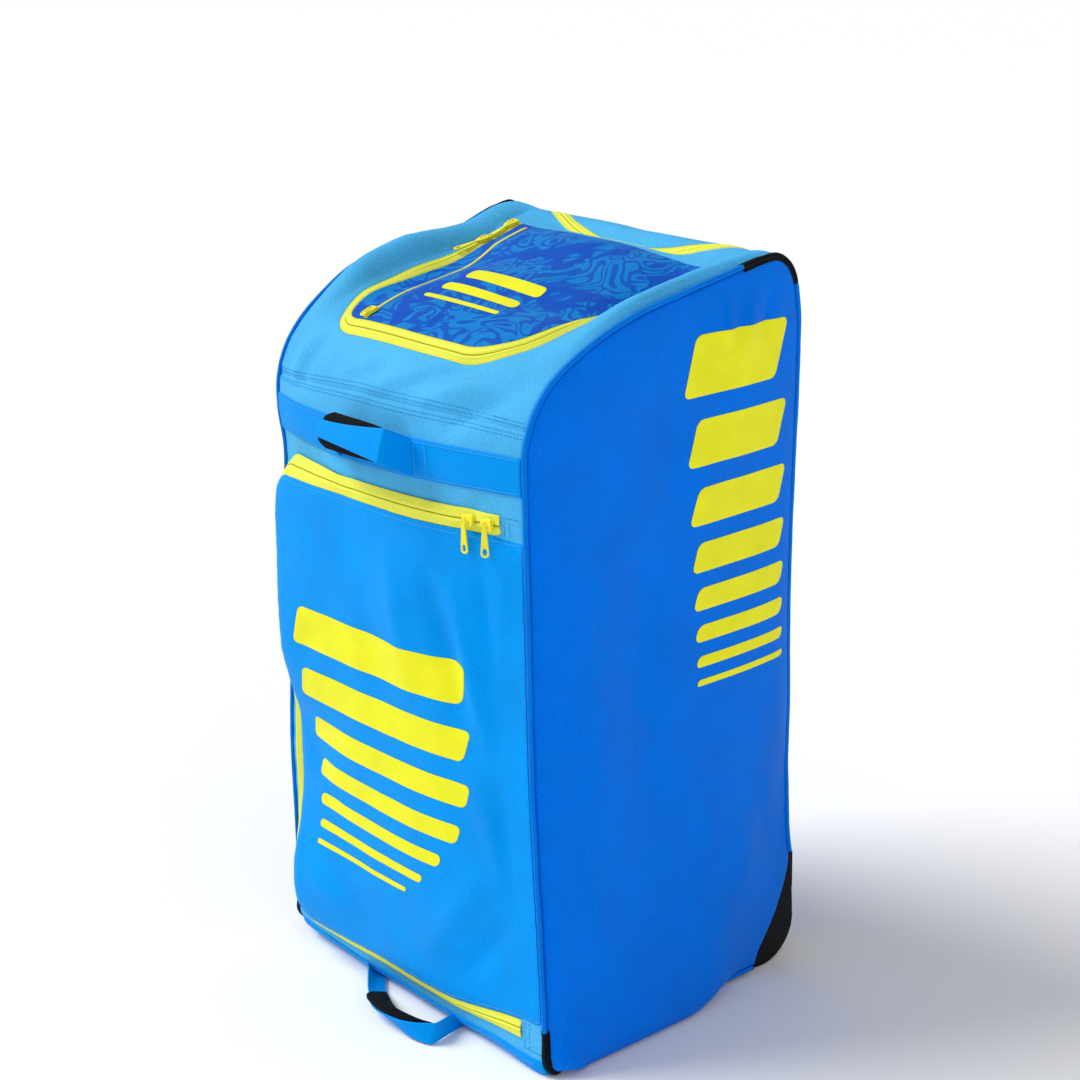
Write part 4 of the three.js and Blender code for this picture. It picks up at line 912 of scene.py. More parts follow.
BLUE = (0.0, 0.155, 0.74)
POCKET_BLUE = (0.0, 0.28, 0.8)
LIGHT_BLUE = (0.065, 0.4, 0.74)
BAND_BLUE = (0.0, 0.275, 0.79)
YELLOW = (0.8, 0.82, 0.085)
PRINT_YELLOW = (0.8, 0.79, 0.0)
BLACK = (0.006, 0.007, 0.009)
DARK_PLASTIC = (0.003, 0.003, 0.004)

LOOKS = {
    "blue": cloth_look("blue_cloth", BLUE),
    "pocket": cloth_look("pocket_cloth", POCKET_BLUE),
    "light": cloth_look("light_cloth", LIGHT_BLUE),
    "marbled": marbled_look("marbled_cloth", (0.0, 0.07, 0.46), (0.0, 0.19, 0.56)),
    "webbing": webbing_look("webbing", BAND_BLUE),
    # The zip tape's third colour is the painted shade of the groove between its coils
    "zip": tape_look("zip_tape", YELLOW, (0.36, 0.36, 0.02)),
    "print": plain_look("print_film", PRINT_YELLOW, 0.5, 1.5, 0.12, Specular_IOR_Level=0.3),
    "pull": plain_look("painted_metal", (0.84, 0.76, 0.01), 0.36, 2.0, 0.05),
    "pad": cloth_look("pad_knit", BLACK, 0.85, 0.35, 0.3),
    "binding": webbing_look("binding_tape", BLACK, 1.8),
    "piping": cloth_look("piping_cloth", (0.0, 0.17, 0.68), 0.55),
    "plastic": plain_look("housing_plastic", DARK_PLASTIC, 0.6, 1.2, 0.25, Specular_IOR_Level=0.12),
    "rubber": plain_look("tyre_rubber", (0.008, 0.008, 0.009), 0.7, 1.6, 0.3),
    "hub": plain_look("hub_plastic", (0.022, 0.024, 0.028), 0.42, 1.4, 0.12),
    "steel": plain_look("axle_steel", (0.42, 0.43, 0.45), 0.34, 3.0, 0.05, Metallic=1.0),
    "light_thread": plain_look("light_thread", (0.1, 0.4, 0.76), 0.7, 0.6, 0.1, Specular_IOR_Level=0.1),
    # Thread colour painted darker than the real light-blue thread: painted shade of stitches sunk into
    # their holes
    "thread_with_painted_shade": plain_look("thread_with_painted_shade", (0.017, 0.22, 0.58), 0.7, 0.6, 0.1, Specular_IOR_Level=0.1),
    "yellow_thread": plain_look("yellow_thread", (0.7, 0.68, 0.045), 0.7, 0.6, 0.1),
    "black_thread": plain_look("black_thread", (0.02, 0.021, 0.024), 0.75, 0.6, 0.1),
}


# Cloth panels of the front, top, back and base

def metric(along, across):
    return np.stack(np.broadcast_arrays(across, along), -1) * MM


def patch(alongs, acrosses, lift=0.0, thickness=CLOTH, keep=None, point=gusset_point):
    """Cloth over a grid of places: alongs by rows or as a full grid, acrosses by columns or the same."""
    along, across = grids(alongs[:, None] if alongs.ndim == 1 else alongs, acrosses)
    return shell(point(along, across, lift), metric(along, across), thickness, keep)


FINE, MEDIUM, BACK_STEP, COARSE = 4.0, 5.0, 7.0, 8.0
WIDTH = with_margins(spaced(-EDGE, EDGE, FINE))


def notched(alongs, acrosses):
    """Cells that stay clear of the wheel housings."""
    middle_along = (alongs[:-1] + alongs[1:]) / 2
    middle_across = (acrosses[:-1] + acrosses[1:]) / 2
    y, z, _, _ = seam_at(middle_along)
    beside = (y > NOTCH_Y) & (z < NOTCH_Z)
    return ~(beside[:, None] & (np.abs(middle_across) > NOTCH_X)[None, :])


def panels():
    lap, tucked = 4.0, -1.4 * CLOTH
    rows = np.concatenate([with_margins(spaced(BASE_SEAM + GAP, TOP_SEAM, FINE)), [TOP_SEAM + lap]])
    under = np.where(rows > TOP_SEAM, tucked, 0.0)[:, None]
    add_cloth("front_panel", patch(rows, WIDTH, under), "light")
    columns = np.unique(np.concatenate([spaced(-EDGE, EDGE, COARSE), [-NOTCH_X, NOTCH_X]]))
    notch_along = FRONT_Y + FOOT_RADIUS - NOTCH_Y
    rows = np.concatenate([
        spaced(BACK_END + GAP - SEAM_LENGTH, notch_along, COARSE),
        spaced(notch_along, BASE_SEAM, MEDIUM)[1:],
    ])
    add_cloth("base_panel", patch(rows, columns, keep=notched(rows, columns)), "blue")
    notch_along = BACK_RUN_START + BACK_RUN_Z - NOTCH_Z
    rows = np.concatenate([
        spaced(REAR_SEAM + GAP, notch_along, BACK_STEP),
        spaced(notch_along, BACK_END, MEDIUM)[1:],
    ])
    add_cloth("back_panel", patch(rows, columns, keep=notched(rows, columns)), "blue")


def lid_stations(inner, outer, step=FINE):
    """Pairs of inner and outer places round the lid's U, from its right end to its left end.
    Each edge is given as half width, front place and corner radius, or 0 for a square corner."""
    half, front, radius = inner
    far_half, far_front, far_radius = outer
    centre_along, centre_across = front + radius, half - radius
    to_front, to_side = centre_along - far_front, far_half - centre_across
    right = [((along, half), (along, far_half)) for along in spaced(LID_REAR, centre_along, step)]
    corner_steps = 26
    turns = np.linspace(0, math.pi / 2, corner_steps)[1:]
    if not far_radius:
        turns = np.sort(np.append(turns, math.atan2(to_front, to_side)))
    for turn in turns:
        sine, cosine = math.sin(turn), math.cos(turn)
        reach = far_radius or min(to_side / max(cosine, 1e-9), to_front / max(sine, 1e-9))
        right.append((
            (centre_along - radius * sine, centre_across + radius * cosine),
            (centre_along - reach * sine, centre_across + reach * cosine),
        ))
    right += [((front, x), (far_front, x)) for x in spaced(centre_across, 0, step)[1:]]
    right = np.array(right)
    left = right[-2::-1] * np.array([1.0, -1.0])
    return np.concatenate([right, left])


def between(stations, shares):
    """Grids of along and across places between the two edges of a row of stations."""
    grid = lerp(stations[:, None, 0], stations[:, None, 1], shares[None, :, None])
    return grid[..., 0], grid[..., 1]


ZIP_SHARES = np.array([
    0, 0.05, 0.15, 0.25, 0.31, 0.36, 0.41, 0.45, 0.475, 0.49, 0.5,
    0.51, 0.525, 0.55, 0.59, 0.64, 0.69, 0.75, 0.85, 0.95, 1,
])


def zip_profile(shares, width=ZIP_TAPE):
    """Rise across a zip: the tape swells over the coil at each side of a narrow groove."""
    coil_rise, coil_place, coil_half = 1.1, 2.4, 1.9
    groove_depth, groove_half = 1.3, 0.55
    off = np.abs(shares - 0.5) * width
    return coil_rise * hump(off - coil_place, coil_half) - groove_depth * hump(off, groove_half)


ZIP_RISE = zip_profile(ZIP_SHARES)


def add_zip(node, points):
    """A zip's tape. Its weave places are the share across the tape and metres along it."""
    weave = np.stack(np.meshgrid(ZIP_SHARES, np.arange(len(points)) * FINE * MM), -1)
    add_piece(f"{node}_tape", [shell(points, weave, ZIP_WALL)], "zip", "zip_tape", [node])


def top_pieces():
    half, front = LID_ZIP_HALF, LID_FRONT
    stations = lid_stations((half + GAP, front - GAP, LID_CORNER + GAP), (EDGE, TOP_SEAM + GAP, 0))
    along, across = between(stations, with_margins(np.linspace(0, 1, 14), 0.016))
    add_cloth("top_panel", patch(along, across), "light")

    inner = (half - ZIP_TAPE, front + ZIP_TAPE, LID_CORNER - ZIP_TAPE)
    stations = lid_stations(inner, (half, front, LID_CORNER))
    along, across = between(stations, ZIP_SHARES)
    add_zip("lid_zip", gusset_point(along, across, ZIP_RISE))

    clear = 2 * GAP
    half, radius, front = half - ZIP_TAPE - clear, LID_CORNER - ZIP_TAPE - clear, front + ZIP_TAPE + clear
    corner = half - radius
    turns = np.sin(np.linspace(0, math.pi / 2, 16))[1:]
    right = np.concatenate([spaced(0, corner, FINE), corner + radius * turns])
    columns = np.concatenate([-right[:0:-1], right])
    over = np.maximum(0, np.abs(columns) - corner)
    starts = front + radius - np.sqrt(np.maximum(0, radius**2 - over**2))
    shares = with_margins(np.linspace(0, 1, 72), 0.004)
    along = lerp(starts[None], LID_REAR, shares[:, None])
    add_cloth("lid_flap", patch(along, columns), "marbled")


def arch_along(across, inset):
    share = np.minimum(1, np.abs(across) / (ARCH_HALF - inset))
    return REAR_SEAM - (ARCH_REACH - inset) * np.sqrt(1 - share**2)


def rear_pieces():
    turns = np.linspace(-math.pi / 2, math.pi / 2, 97)
    arch = ARCH_HALF * np.sin(turns)
    strip = spaced(ARCH_HALF, EDGE, FINE)[1:]
    columns = np.concatenate([-strip[::-1], arch, strip])
    shares = with_margins(np.linspace(0, 1, 38), 0.006)
    along = lerp(LID_REAR + GAP, arch_along(columns, 0)[None], shares[:, None])
    add_cloth("rear_deck", patch(along, columns), "light")

    inset = GAP + ZIP_SHARES * (REAR_ZIP - 2 * GAP)
    across = (ARCH_HALF - inset)[None] * np.sin(turns)[:, None]
    along = REAR_SEAM - (ARCH_REACH - inset)[None] * np.cos(turns)[:, None]
    add_zip("rear_zip", gusset_point(along, across, ZIP_RISE))

    columns = (ARCH_HALF - REAR_ZIP) * np.sin(turns[2:-2])
    along = lerp(arch_along(columns, REAR_ZIP)[None], REAR_SEAM, shares[:, None])
    add_cloth("rear_flap", patch(along, columns), "light")


def lid_pocket_line(share):
    start, end = (np.array(place) for place in LID_POCKET_ZIP)
    place = lerp(start, end, np.asarray(share, float)[..., None])
    return place[..., 0], place[..., 1]


def lid_pocket_zip():
    shares = np.linspace(0, 1, 70)
    along, across = lid_pocket_line(shares)
    side = (ZIP_SHARES - 0.5) * LID_POCKET_ZIP_WIDTH
    wall, flatter, coil_width = 0.8, 0.5, 12.0
    lift = LID_POCKET_ZIP_SEAT + wall + flatter * zip_profile(ZIP_SHARES, coil_width)
    add_zip("lid_pocket_zip", gusset_point(along[:, None], across[:, None] + side[None], lift[None]))


# Pocket

def pocket_edge(step=FINE):
    """Places on the pocket's zipped edge with the direction out of it: top, left side, bottom."""
    middle = POCKET_LEFT + POCKET_CORNER
    high, low = POCKET_TOP - POCKET_CORNER, POCKET_BOTTOM + POCKET_CORNER
    places = [(POCKET_TOP, x, 1.0, 0.0) for x in spaced(POCKET_ZIP_TOP, middle, step)]
    for centre, turns in ((high, (0, 90)), (low, (90, 180))):
        if turns[0]:
            places += [(along, POCKET_LEFT, 0.0, -1.0) for along in spaced(high, low, step)[1:]]
        for turn in np.radians(np.linspace(*turns, 19))[1:]:
            out = (math.cos(turn), -math.sin(turn))
            places.append((centre + POCKET_CORNER * out[0], middle + POCKET_CORNER * out[1], *out))
    places += [(POCKET_BOTTOM, x, -1.0, 0.0) for x in spaced(middle, POCKET_ZIP_BOTTOM, step)[1:]]
    return np.array(places)


def pocket_zip_points(edge, shares, over=0.0):
    """Points on the tape that slopes from the pocket's edge down to the front wall."""
    along, across, out_along, out_across = (edge[:, k, None] for k in range(4))
    wider_above, swell = 4.0, 0.9
    reach = lerp(GAP, ZIP_TAPE + wider_above * out_along, shares[None])
    lift = lerp(pocket_lift(along, across), ZIP_SEAT + ZIP_WALL, shares[None])
    lift = lift + over + swell * np.sin(np.pi * shares)[None]
    return gusset_point(along + out_along * reach, across + out_across * reach, lift)


def pocket_pieces():
    corner = POCKET_LEFT + POCKET_CORNER
    turns = np.sin(np.linspace(-math.pi / 2, 0, 16))
    columns = np.concatenate([corner + POCKET_CORNER * turns, spaced(corner, POCKET_RIGHT, FINE)[1:]])
    over = np.maximum(0, corner - columns)
    away = POCKET_CORNER - np.sqrt(np.maximum(0, POCKET_CORNER**2 - over**2))
    shares = with_margins(np.linspace(0, 1, 150), 0.0016)
    along = lerp((POCKET_BOTTOM + away)[None], (POCKET_TOP - away)[None], shares[:, None])
    add_cloth("pocket_panel", patch(along, columns, point=pocket_point), "pocket")

    edge = pocket_edge()
    add_zip("pocket_zip", pocket_zip_points(edge, ZIP_SHARES, ZIP_RISE[None]))


# Side panels, piping and edge bindings

SIDE_STEP, SIDE_RINGS = 4.8, 58


def side_panel(side, name):
    """A side's cloth, in rings that close in from its outline to its middle."""
    outline = side_outline(SIDE_STEP)
    middle = MIDDLE[1:]
    rim, closer, reach, edge_drop = 0.996, 1.2, 0.97, 0.5
    steps = np.linspace(0, 1, SIDE_RINGS)[1:-1]
    shares = np.concatenate([[1, rim], 1 - steps**closer * reach])
    rings = middle + (outline - middle)[None] * shares[:, None, None]
    y, z = rings[..., 0], rings[..., 1]
    outer = side_point(side, y, z)
    outer[0, :, 0] -= side * edge_drop
    inner = outer - np.array([side * CLOTH, 0, 0])
    vertices, faces, _ = tube(np.concatenate([inner[::-1], outer]))
    places = np.concatenate([rings[::-1], rings]).reshape(-1, 2) * MM
    add_cloth(f"side_panel_{name}", (vertices, faces, places), "blue")


def beside_seam(side, along, out_x, out_normal):
    """Places beside the seam: out along X from it, and up along the outline's normal."""
    y, z, normal_y, normal_z = seam_at(along)
    x = side * (SEAM_HALF + out_x)
    return np.stack(np.broadcast_arrays(x, y + normal_y * out_normal, z + normal_z * out_normal), -1)


def seam_wave(table, side, along):
    height, length, row, layer = table
    return height * noise(along / length, side * row, layer)


def seam_sway(side, along):
    """How far the piping wanders from the seam plane."""
    on_front = smooth(along, *FRONT_SWAY_STARTS) * (1 - smooth(along, *FRONT_SWAY_ENDS))
    return seam_wave(SWAY, side, along) + on_front * seam_wave(FRONT_SWAY, side, along)


def pressed(along):
    """The piping is pressed thinner inside the edge bindings."""
    inside, ramp, thinner = 0.0, 4.0, 0.45
    for tape in BINDINGS.values():
        begun = smooth(along, tape["start"], tape["start"] + ramp)
        ended = smooth(along, tape["end"] - ramp, tape["end"])
        inside = np.maximum(inside, begun * (1 - ended))
    return 1 - thinner * inside


def piping(side, name):
    """The cord in the seam, from in front of the wheel round to the top of its housing."""
    short = 4.0
    start = FRONT_Y + FOOT_RADIUS - (SIDE_CUT_END - short)
    end = BACK_RUN_START + BACK_RUN_Z - HOUSING_TOP - short
    alongs = spaced(start, end, MEDIUM)[:, None]
    turns = full_turn(14)[None]
    radius = PIPING_RADIUS * (1 + seam_wave(PIPING_WAVE, side, alongs)) * pressed(alongs)
    sway = seam_sway(side, alongs)
    rings = beside_seam(side, alongs, sway + radius * np.cos(turns), radius * np.sin(turns))
    add_piece(f"piping_{name}_cord", [tube(rings)], "piping", "piping_cord", [f"piping_{name}"])


BINDING_WALL, BINDING_SEAT, BINDING_EASE = 0.9, 0.2, 1.05
BINDING_SHOULDER = 3.2


def binding(side, start, end, reach):
    """Tape folded close over the piping, with a short leg on the cloth at each side of it."""
    alongs = spaced(start, end, 3.0)
    legs = np.linspace(reach, BINDING_SHOULDER, 4)
    turns = np.radians(np.linspace(105, -15, 11))
    radius = PIPING_RADIUS * BINDING_EASE * pressed((start + end) / 2) + BINDING_WALL
    rows = []
    seat = BINDING_WALL + BINDING_SEAT
    for along in alongs:
        wave = seam_wave(BINDING_WAVE, side, along)
        sway = seam_sway(side, along)
        y, z, normal_y, normal_z = seam_at(along)
        on_gusset, on_side = [], []
        for leg in legs:
            rise = gusset_rise(along, SEAM_HALF - leg) + seat + wave
            on_gusset.append(beside_seam(side, along, -leg, rise))
            out = side_point(1, y - normal_y * leg, z - normal_z * leg)[0] - SEAM_HALF
            on_side.insert(0, beside_seam(side, along, out + seat + wave, -leg))
        out_x, out_normal = sway + radius * np.cos(turns), radius * np.sin(turns)
        rows.append([*on_gusset, *beside_seam(side, along, out_x, out_normal), *on_side])
    points = np.array(rows, float).reshape(len(alongs), -1, 3)
    weave = np.stack(np.meshgrid(np.arange(points.shape[1]) * 2.0, alongs), -1) * MM
    return shell(points, weave, BINDING_WALL, edge_drop=0.2)


BINDINGS = {
    "foot": {"start": -12.0, "end": 69.0, "reach": 4.4},
    "crown": {"start": 1184.0, "end": 1304.0, "reach": 6.5},
}


def side_pieces():
    for side, name in SIDES:
        side_panel(side, name)
        piping(side, name)
        for place, sizes in BINDINGS.items():
            part = binding(side, **sizes)
            node = f"{place}_binding_{name}"
            add_piece(f"{node}_tape", [part], "binding", "binding_tape", [node])


# Bands and handles

def handle_point(handle, share, across, lift):
    """Places on a handle: share of its strap, from the lower to the upper edge, and across the front."""
    share, across = grids(share, across)
    sewn_down = gusset_point(lerp(*handle["band"], share), across, lift)
    loose = 1 - smooth(np.abs(across), handle["flat_half"], handle["half"])
    run = np.clip(across / handle["flat_half"], -1, 1)
    turned_by = ((run[..., None] + 1) / 2) ** HANDLE_TURN
    edges = [lerp(*np.array(handle[name], float), turned_by) for name in ("lower", "upper")]
    place = lerp(edges[0], edges[1], share[..., None])
    rise = unit(edges[1] - edges[0])
    y = place[..., 0] - rise[..., 1] * lift - handle["bow"] * (1 - np.abs(run) ** HANDLE_BOW)
    z = np.maximum(place[..., 1] + rise[..., 0] * lift, HANDLE_CLEAR)
    free = np.stack([across + handle["lean"], y, z], -1)
    return lerp(sewn_down, free, loose[..., None])


def strap_crown(share):
    """A strap's faces stand a little fuller in the middle than at its selvedges."""
    fuller, sunk = 0.5, 0.35
    return fuller * np.sin(np.pi * np.clip(share, 0, 1)) - sunk


def band_piece(name, band, ends):
    rows = with_margins(spaced(*band, 3.0))
    columns = with_margins(spaced(*ends, FINE))
    along, across = np.meshgrid(rows, columns, indexing="ij")
    lift = BAND_TOP + strap_crown((along - band[0]) / (band[1] - band[0]))
    part = patch(along, across, lift, STRAP)
    add_piece(f"{name}_webbing", [part], "webbing", "webbing", [name])


def grip_piece(name, handle):
    """The strap's loop, with its sewn ends pressed flat into the band."""
    step, rows, margin, over_band = 1.6, 14, 0.02, 0.6
    reach = handle["half"] + HANDLE_SEWN
    columns = with_margins(spaced(-reach, reach, step))
    shares = with_margins(np.linspace(0, 1, rows), margin)
    share, across = np.meshgrid(shares, columns, indexing="ij")
    loose = 1 - smooth(np.abs(across), handle["half"] - 8, handle["half"] + 2)
    lift = BAND_TOP * (1 - loose) + over_band + strap_crown(share)
    points = handle_point(handle, share, across, lift)
    run = lengths_along(points[len(shares) // 2])
    width = handle["band"][1] - handle["band"][0]
    part = shell(points, metric(share * width, np.broadcast_to(run, share.shape)), STRAP)
    add_piece(f"{name}_webbing", [part], "webbing", "webbing", [name])


def pad_piece(name, handle):
    """Padded lining behind the grip: a lens of knit cloth over foam, thin at its ends."""
    stations, sides, square, tucked = 61, 32, 0.75, 0.4
    fuller, opening, thinnest, blunt = 1.2, 0.3, 0.15, 4
    half = handle["flat_half"] - STRAP
    columns = np.linspace(-half, half, stations)
    turns = full_turn(sides)
    run = columns / half
    width = handle["band"][1] - handle["band"][0]
    lens = fuller * np.sqrt(np.clip((run + 1) / opening, 0, 1)) * ((1 - run) / 2) ** handle["taper"]
    below, above = (overhang / width * lens for overhang in handle["overhang"])
    middle, reach = (1 + above - below) / 2, (1 + above + below) / 2
    thick = handle["pad"] / 2 * np.maximum(thinnest, 1 - np.abs(run) ** blunt)
    cosine = np.sign(np.cos(turns)) * np.abs(np.cos(turns)) ** square
    sine = np.sign(np.sin(turns)) * np.abs(np.sin(turns)) ** square
    share = middle[:, None] + reach[:, None] * cosine[None]
    lift = tucked - STRAP - thick[:, None] + thick[:, None] * sine[None]
    across = np.broadcast_to(columns[:, None], share.shape)
    vertices, faces, _ = tube(handle_point(handle, share, across, lift))
    part = (vertices, faces, metric(share * width, across).reshape(-1, 2))
    piece = add_piece(f"{name}_knit", [part], "pad", "pad_cloth", [name])


def handles():
    band_piece("upper_band", UPPER_BAND, (-EDGE, EDGE))
    band_piece("lower_band", LOWER_BAND, (BASE_RAMP - SEAM_HALF, EDGE - 1))
    for name, handle in (("upper", UPPER_HANDLE), ("lower", LOWER_HANDLE)):
        grip_piece(f"{name}_grip", handle)
        pad_piece(f"{name}_pad", handle)


# Sliders and pulls

SLIDER_LENGTH, SLIDER_WIDTH = 19.0, 15.0
PULL_LENGTH, PULL_WIDTH, PULL_THICKNESS, PULL_WIRE = 42.0, 10.0, 2.2, 0.9
POCKET_SLIDERS = (166.0, 195.0)
LID_SLIDERS = (1120.0, 1158.0)
# How far each pull hangs away from the cloth or lies to one side, in degrees
POCKET_PULL_TILTS, POCKET_PULL_TURN, LID_PULL_TURNS = (-12, -44), 2, (-5, 7)


def frame_matrix(origin, first, across):
    """Axes on a surface: along the zip, across it, and out of the cloth."""
    first = unit(first)
    out = unit(np.cross(first, across))
    return axes_matrix(first, np.cross(out, first), out, origin)


# A plate is drawn in its second and third axes and is thick along its first: this lays it flat.
LAID = np.array([[0, 1, 0, 0], [0, 0, 1, 0], [1, 0, 0, 0], [0, 0, 0, 1]], float)


def rounded_loop(corners, radius, steps=5):
    """A loop through corners in turn, each rounded off."""
    corners = np.asarray(corners, float)
    loop = []
    for k, corner in enumerate(corners):
        before, after = corners[k - 1] - corner, corners[(k + 1) % len(corners)] - corner
        start, end = corner + unit(before) * radius, corner + unit(after) * radius
        for t in np.linspace(0, 1, steps):
            loop.append((1 - t) ** 2 * start + 2 * t * (1 - t) * corner + t * t * end)
    return np.array(loop)


def slider_parts(place):
    """Slider: two plates with a waist between them, and a bridge that holds the pull."""
    half, wide = SLIDER_LENGTH / 2, SLIDER_WIDTH / 2
    nose, shoulder, corner, bevel = 4.6, 2.4, 2.6, 0.5
    low, waist, high, waist_inset, waist_bevel = (0.0, 1.6), (1.2, 3.0), (2.6, 4.4), 1.3, 0.3
    bridge_half, bridge_foot, bridge_rise = 4.6, 4.0, 2.8
    corners = [(-half, -nose), (shoulder, -wide), (half, -wide)]
    corners += [(half, wide), (shoulder, wide), (-half, nose)]
    loop = rounded_loop(corners, corner)
    plates = [plate(loop, *heights, bevel) for heights in (high, low)]
    plates.append(plate(inset_loop(loop, waist_inset), *waist, waist_bevel))
    t = np.linspace(0, math.pi, 15)
    arch = np.stack([bridge_half * np.cos(t), 0 * t, bridge_foot + bridge_rise * np.sin(t)], -1)
    laid = [moved(part, LAID) for part in plates]
    return [moved(part, place) for part in [*laid, wire(arch, PULL_WIRE)]]


def pull_parts(place):
    """Pull: a link round the bridge and a long tab, wider towards an eye near its round end."""
    length, half, thick = PULL_LENGTH, PULL_WIDTH / 2, PULL_THICKNESS
    neck, neck_half, square, bevel = 3.0, 2.6, 0.3, 0.45
    eye_back, eye_half, eye_width = 2, 4.4, 2.6
    link_place, link_half, link_width = 2.6, 3.2, 2.3
    t = full_turn(48)
    reach = np.where(np.cos(t) >= 0, half * np.cos(t), (length - half - neck) * np.cos(t))
    taper = np.where(np.cos(t) >= 0, half, lerp(half, neck_half, -np.cos(t)))
    side = np.sign(np.sin(t)) * np.abs(np.sin(t)) ** np.where(np.cos(t) >= 0, 1.0, square)
    outer = np.stack([length - half + reach, taper * side], -1)
    inner = np.stack([length - half - eye_back + eye_half * np.cos(t), eye_width * np.sin(t)], -1)
    tab = moved(plate(outer, 0, thick, bevel, hole=inner), LAID)
    level = np.full(len(t), thick / 2)
    loop = np.stack([link_place + link_half * np.cos(t), link_width * np.sin(t), level], -1)
    link = wire(loop, PULL_WIRE, closed=True)
    return [moved(part, place) for part in (tab, link)]


def shift(x, y, z):
    return np.array(Matrix.Translation((x, y, z)))


def spin(degrees, axis):
    return np.array(Matrix.Rotation(math.radians(degrees), 4, axis))


def gusset_frame(along, across, lift):
    step = 4.0
    first = gusset_point(along + step, across) - gusset_point(along - step, across)
    second = gusset_point(along, across - step) - gusset_point(along, across + step)
    return frame_matrix(gusset_point(along, across, lift), first, second)


def add_slider(name, place, more=()):
    add_piece(f"{name}_body", [*slider_parts(place), *more], "pull", "slider_metal", [name])


def add_pull(name, place):
    add_piece(f"{name}_tab", pull_parts(place), "pull", "slider_metal", [name])


def sliders():
    for k, across in enumerate(POCKET_SLIDERS):
        edge = np.array([(POCKET_TOP, across, 1.0, 0.0)])
        low, middle, high = pocket_zip_points(edge, np.array([0.2, 0.55, 0.9]))[0]
        place = frame_matrix(middle, np.array([1.0, 0, 0]), high - low)
        add_slider(f"pocket_slider_{k + 1}", place @ shift(0, 0, 0.4))
        off = pocket_lift(POCKET_TOP - 20, across) + PULL_THICKNESS + 3.4
        hang = gusset_point(POCKET_TOP, across, off)
        hang[2] = middle[2] + 2.0
        place = frame_matrix(hang, np.array([0, 0.05, -1.0]), np.array([-1.0, 0, 0]))
        turn = spin(POCKET_PULL_TILTS[k], "X") @ spin(POCKET_PULL_TURN, "Z")
        add_pull(f"pocket_pull_{k + 1}", place @ turn @ shift(0, 0, -PULL_THICKNESS / 2))
    across = -(LID_ZIP_HALF - ZIP_TAPE / 2)
    for k, along in enumerate(LID_SLIDERS):
        add_slider(f"lid_slider_{k + 1}", gusset_frame(along, across, 1.0))
        back = gusset_frame(along - 4.0, across + 1.0, 3.4) @ spin(180 + LID_PULL_TURNS[k], "Z")
        add_pull(f"lid_pull_{k + 1}", back)
    along, across = lid_pocket_line(0.03)
    place = gusset_frame(float(along), float(across), LID_POCKET_ZIP_SEAT + 0.8)
    t = full_turn(40)
    ring = np.stack([-6.5 + 5.5 * np.cos(t), 5.0 * np.sin(t), 4.6 + 0.6 * np.cos(t)], -1)
    add_slider("lid_pocket_slider", place, [moved(wire(ring, 1.1, closed=True), place)])


# Wheels and housings

def cheek_loop():
    """Outline of a housing's cheek: round below the wheel, with rounded corners over it and before it."""
    y, z = WHEEL[1:]
    turns = np.radians(np.linspace(-90, 0, 24))
    arc = np.stack([y + CHEEK_RADIUS * np.cos(turns), z + CHEEK_RADIUS * np.sin(turns)], -1)
    corners = [(y + CHEEK_RADIUS, HOUSING_TOP), (HOUSING_SHOULDER, HOUSING_TOP)]
    corners += [(HOUSING_FRONT, z + CHEEK_RADIUS), (HOUSING_FRONT, z - CHEEK_RADIUS)]
    return np.concatenate([arc, rounded_loop(corners, 6.0, 7)])


def housing_parts():
    """Corner moulding for the right wheel: two cheeks, an arch, a back flange and stiffening ribs."""
    low, high = HOUSING_X
    loop = cheek_loop()
    parts = [plate(loop, low, low + HOUSING_WALL, 1.0), plate(loop, high - HOUSING_WALL, high, 1.2)]
    turns = np.radians(spaced(*WELL_TURN, 3.0))
    across = spaced(low + 1, high - 1, MEDIUM)
    radius = WELL_RADIUS + HOUSING_WALL
    rib_rise, rib_pitch, rib_power = 0.5, 5.5, 8
    rib = rib_rise * np.cos((across - low) / rib_pitch) ** rib_power
    y = WHEEL[1] + (radius + rib[None]) * np.cos(turns)[:, None]
    z = WHEEL[2] + (radius + rib[None]) * np.sin(turns)[:, None]
    x = np.broadcast_to(across[None], y.shape)
    points = np.stack([x, y, z], -1)
    weave = np.stack([x, np.broadcast_to(turns[:, None] * radius, y.shape)], -1) * MM
    parts.append(shell(points, weave, HOUSING_WALL, centre=WHEEL))
    back = WHEEL[1] + CHEEK_RADIUS
    foot = WHEEL[2] + WELL_RADIUS * math.sin(math.radians(WELL_TURN[0]))
    corners = [(low + 1, foot), (high - 1, foot), (high - 1, HOUSING_TOP), (low + 1, HOUSING_TOP)]
    flange = rounded_loop(corners, 5.0, 7)
    swap = np.array([[0, 1, 0, 0], [1, 0, 0, 0], [0, 0, 1, 0], [0, 0, 0, 1]], float)
    parts.append(moved(plate(flange, back - HOUSING_WALL, back, 1.0), swap))
    return parts


def mirrored(profile):
    """Half a profile of (radius, place) points, and its mirror image in turn."""
    return profile + [(radius, -place) for radius, place in profile[::-1]]


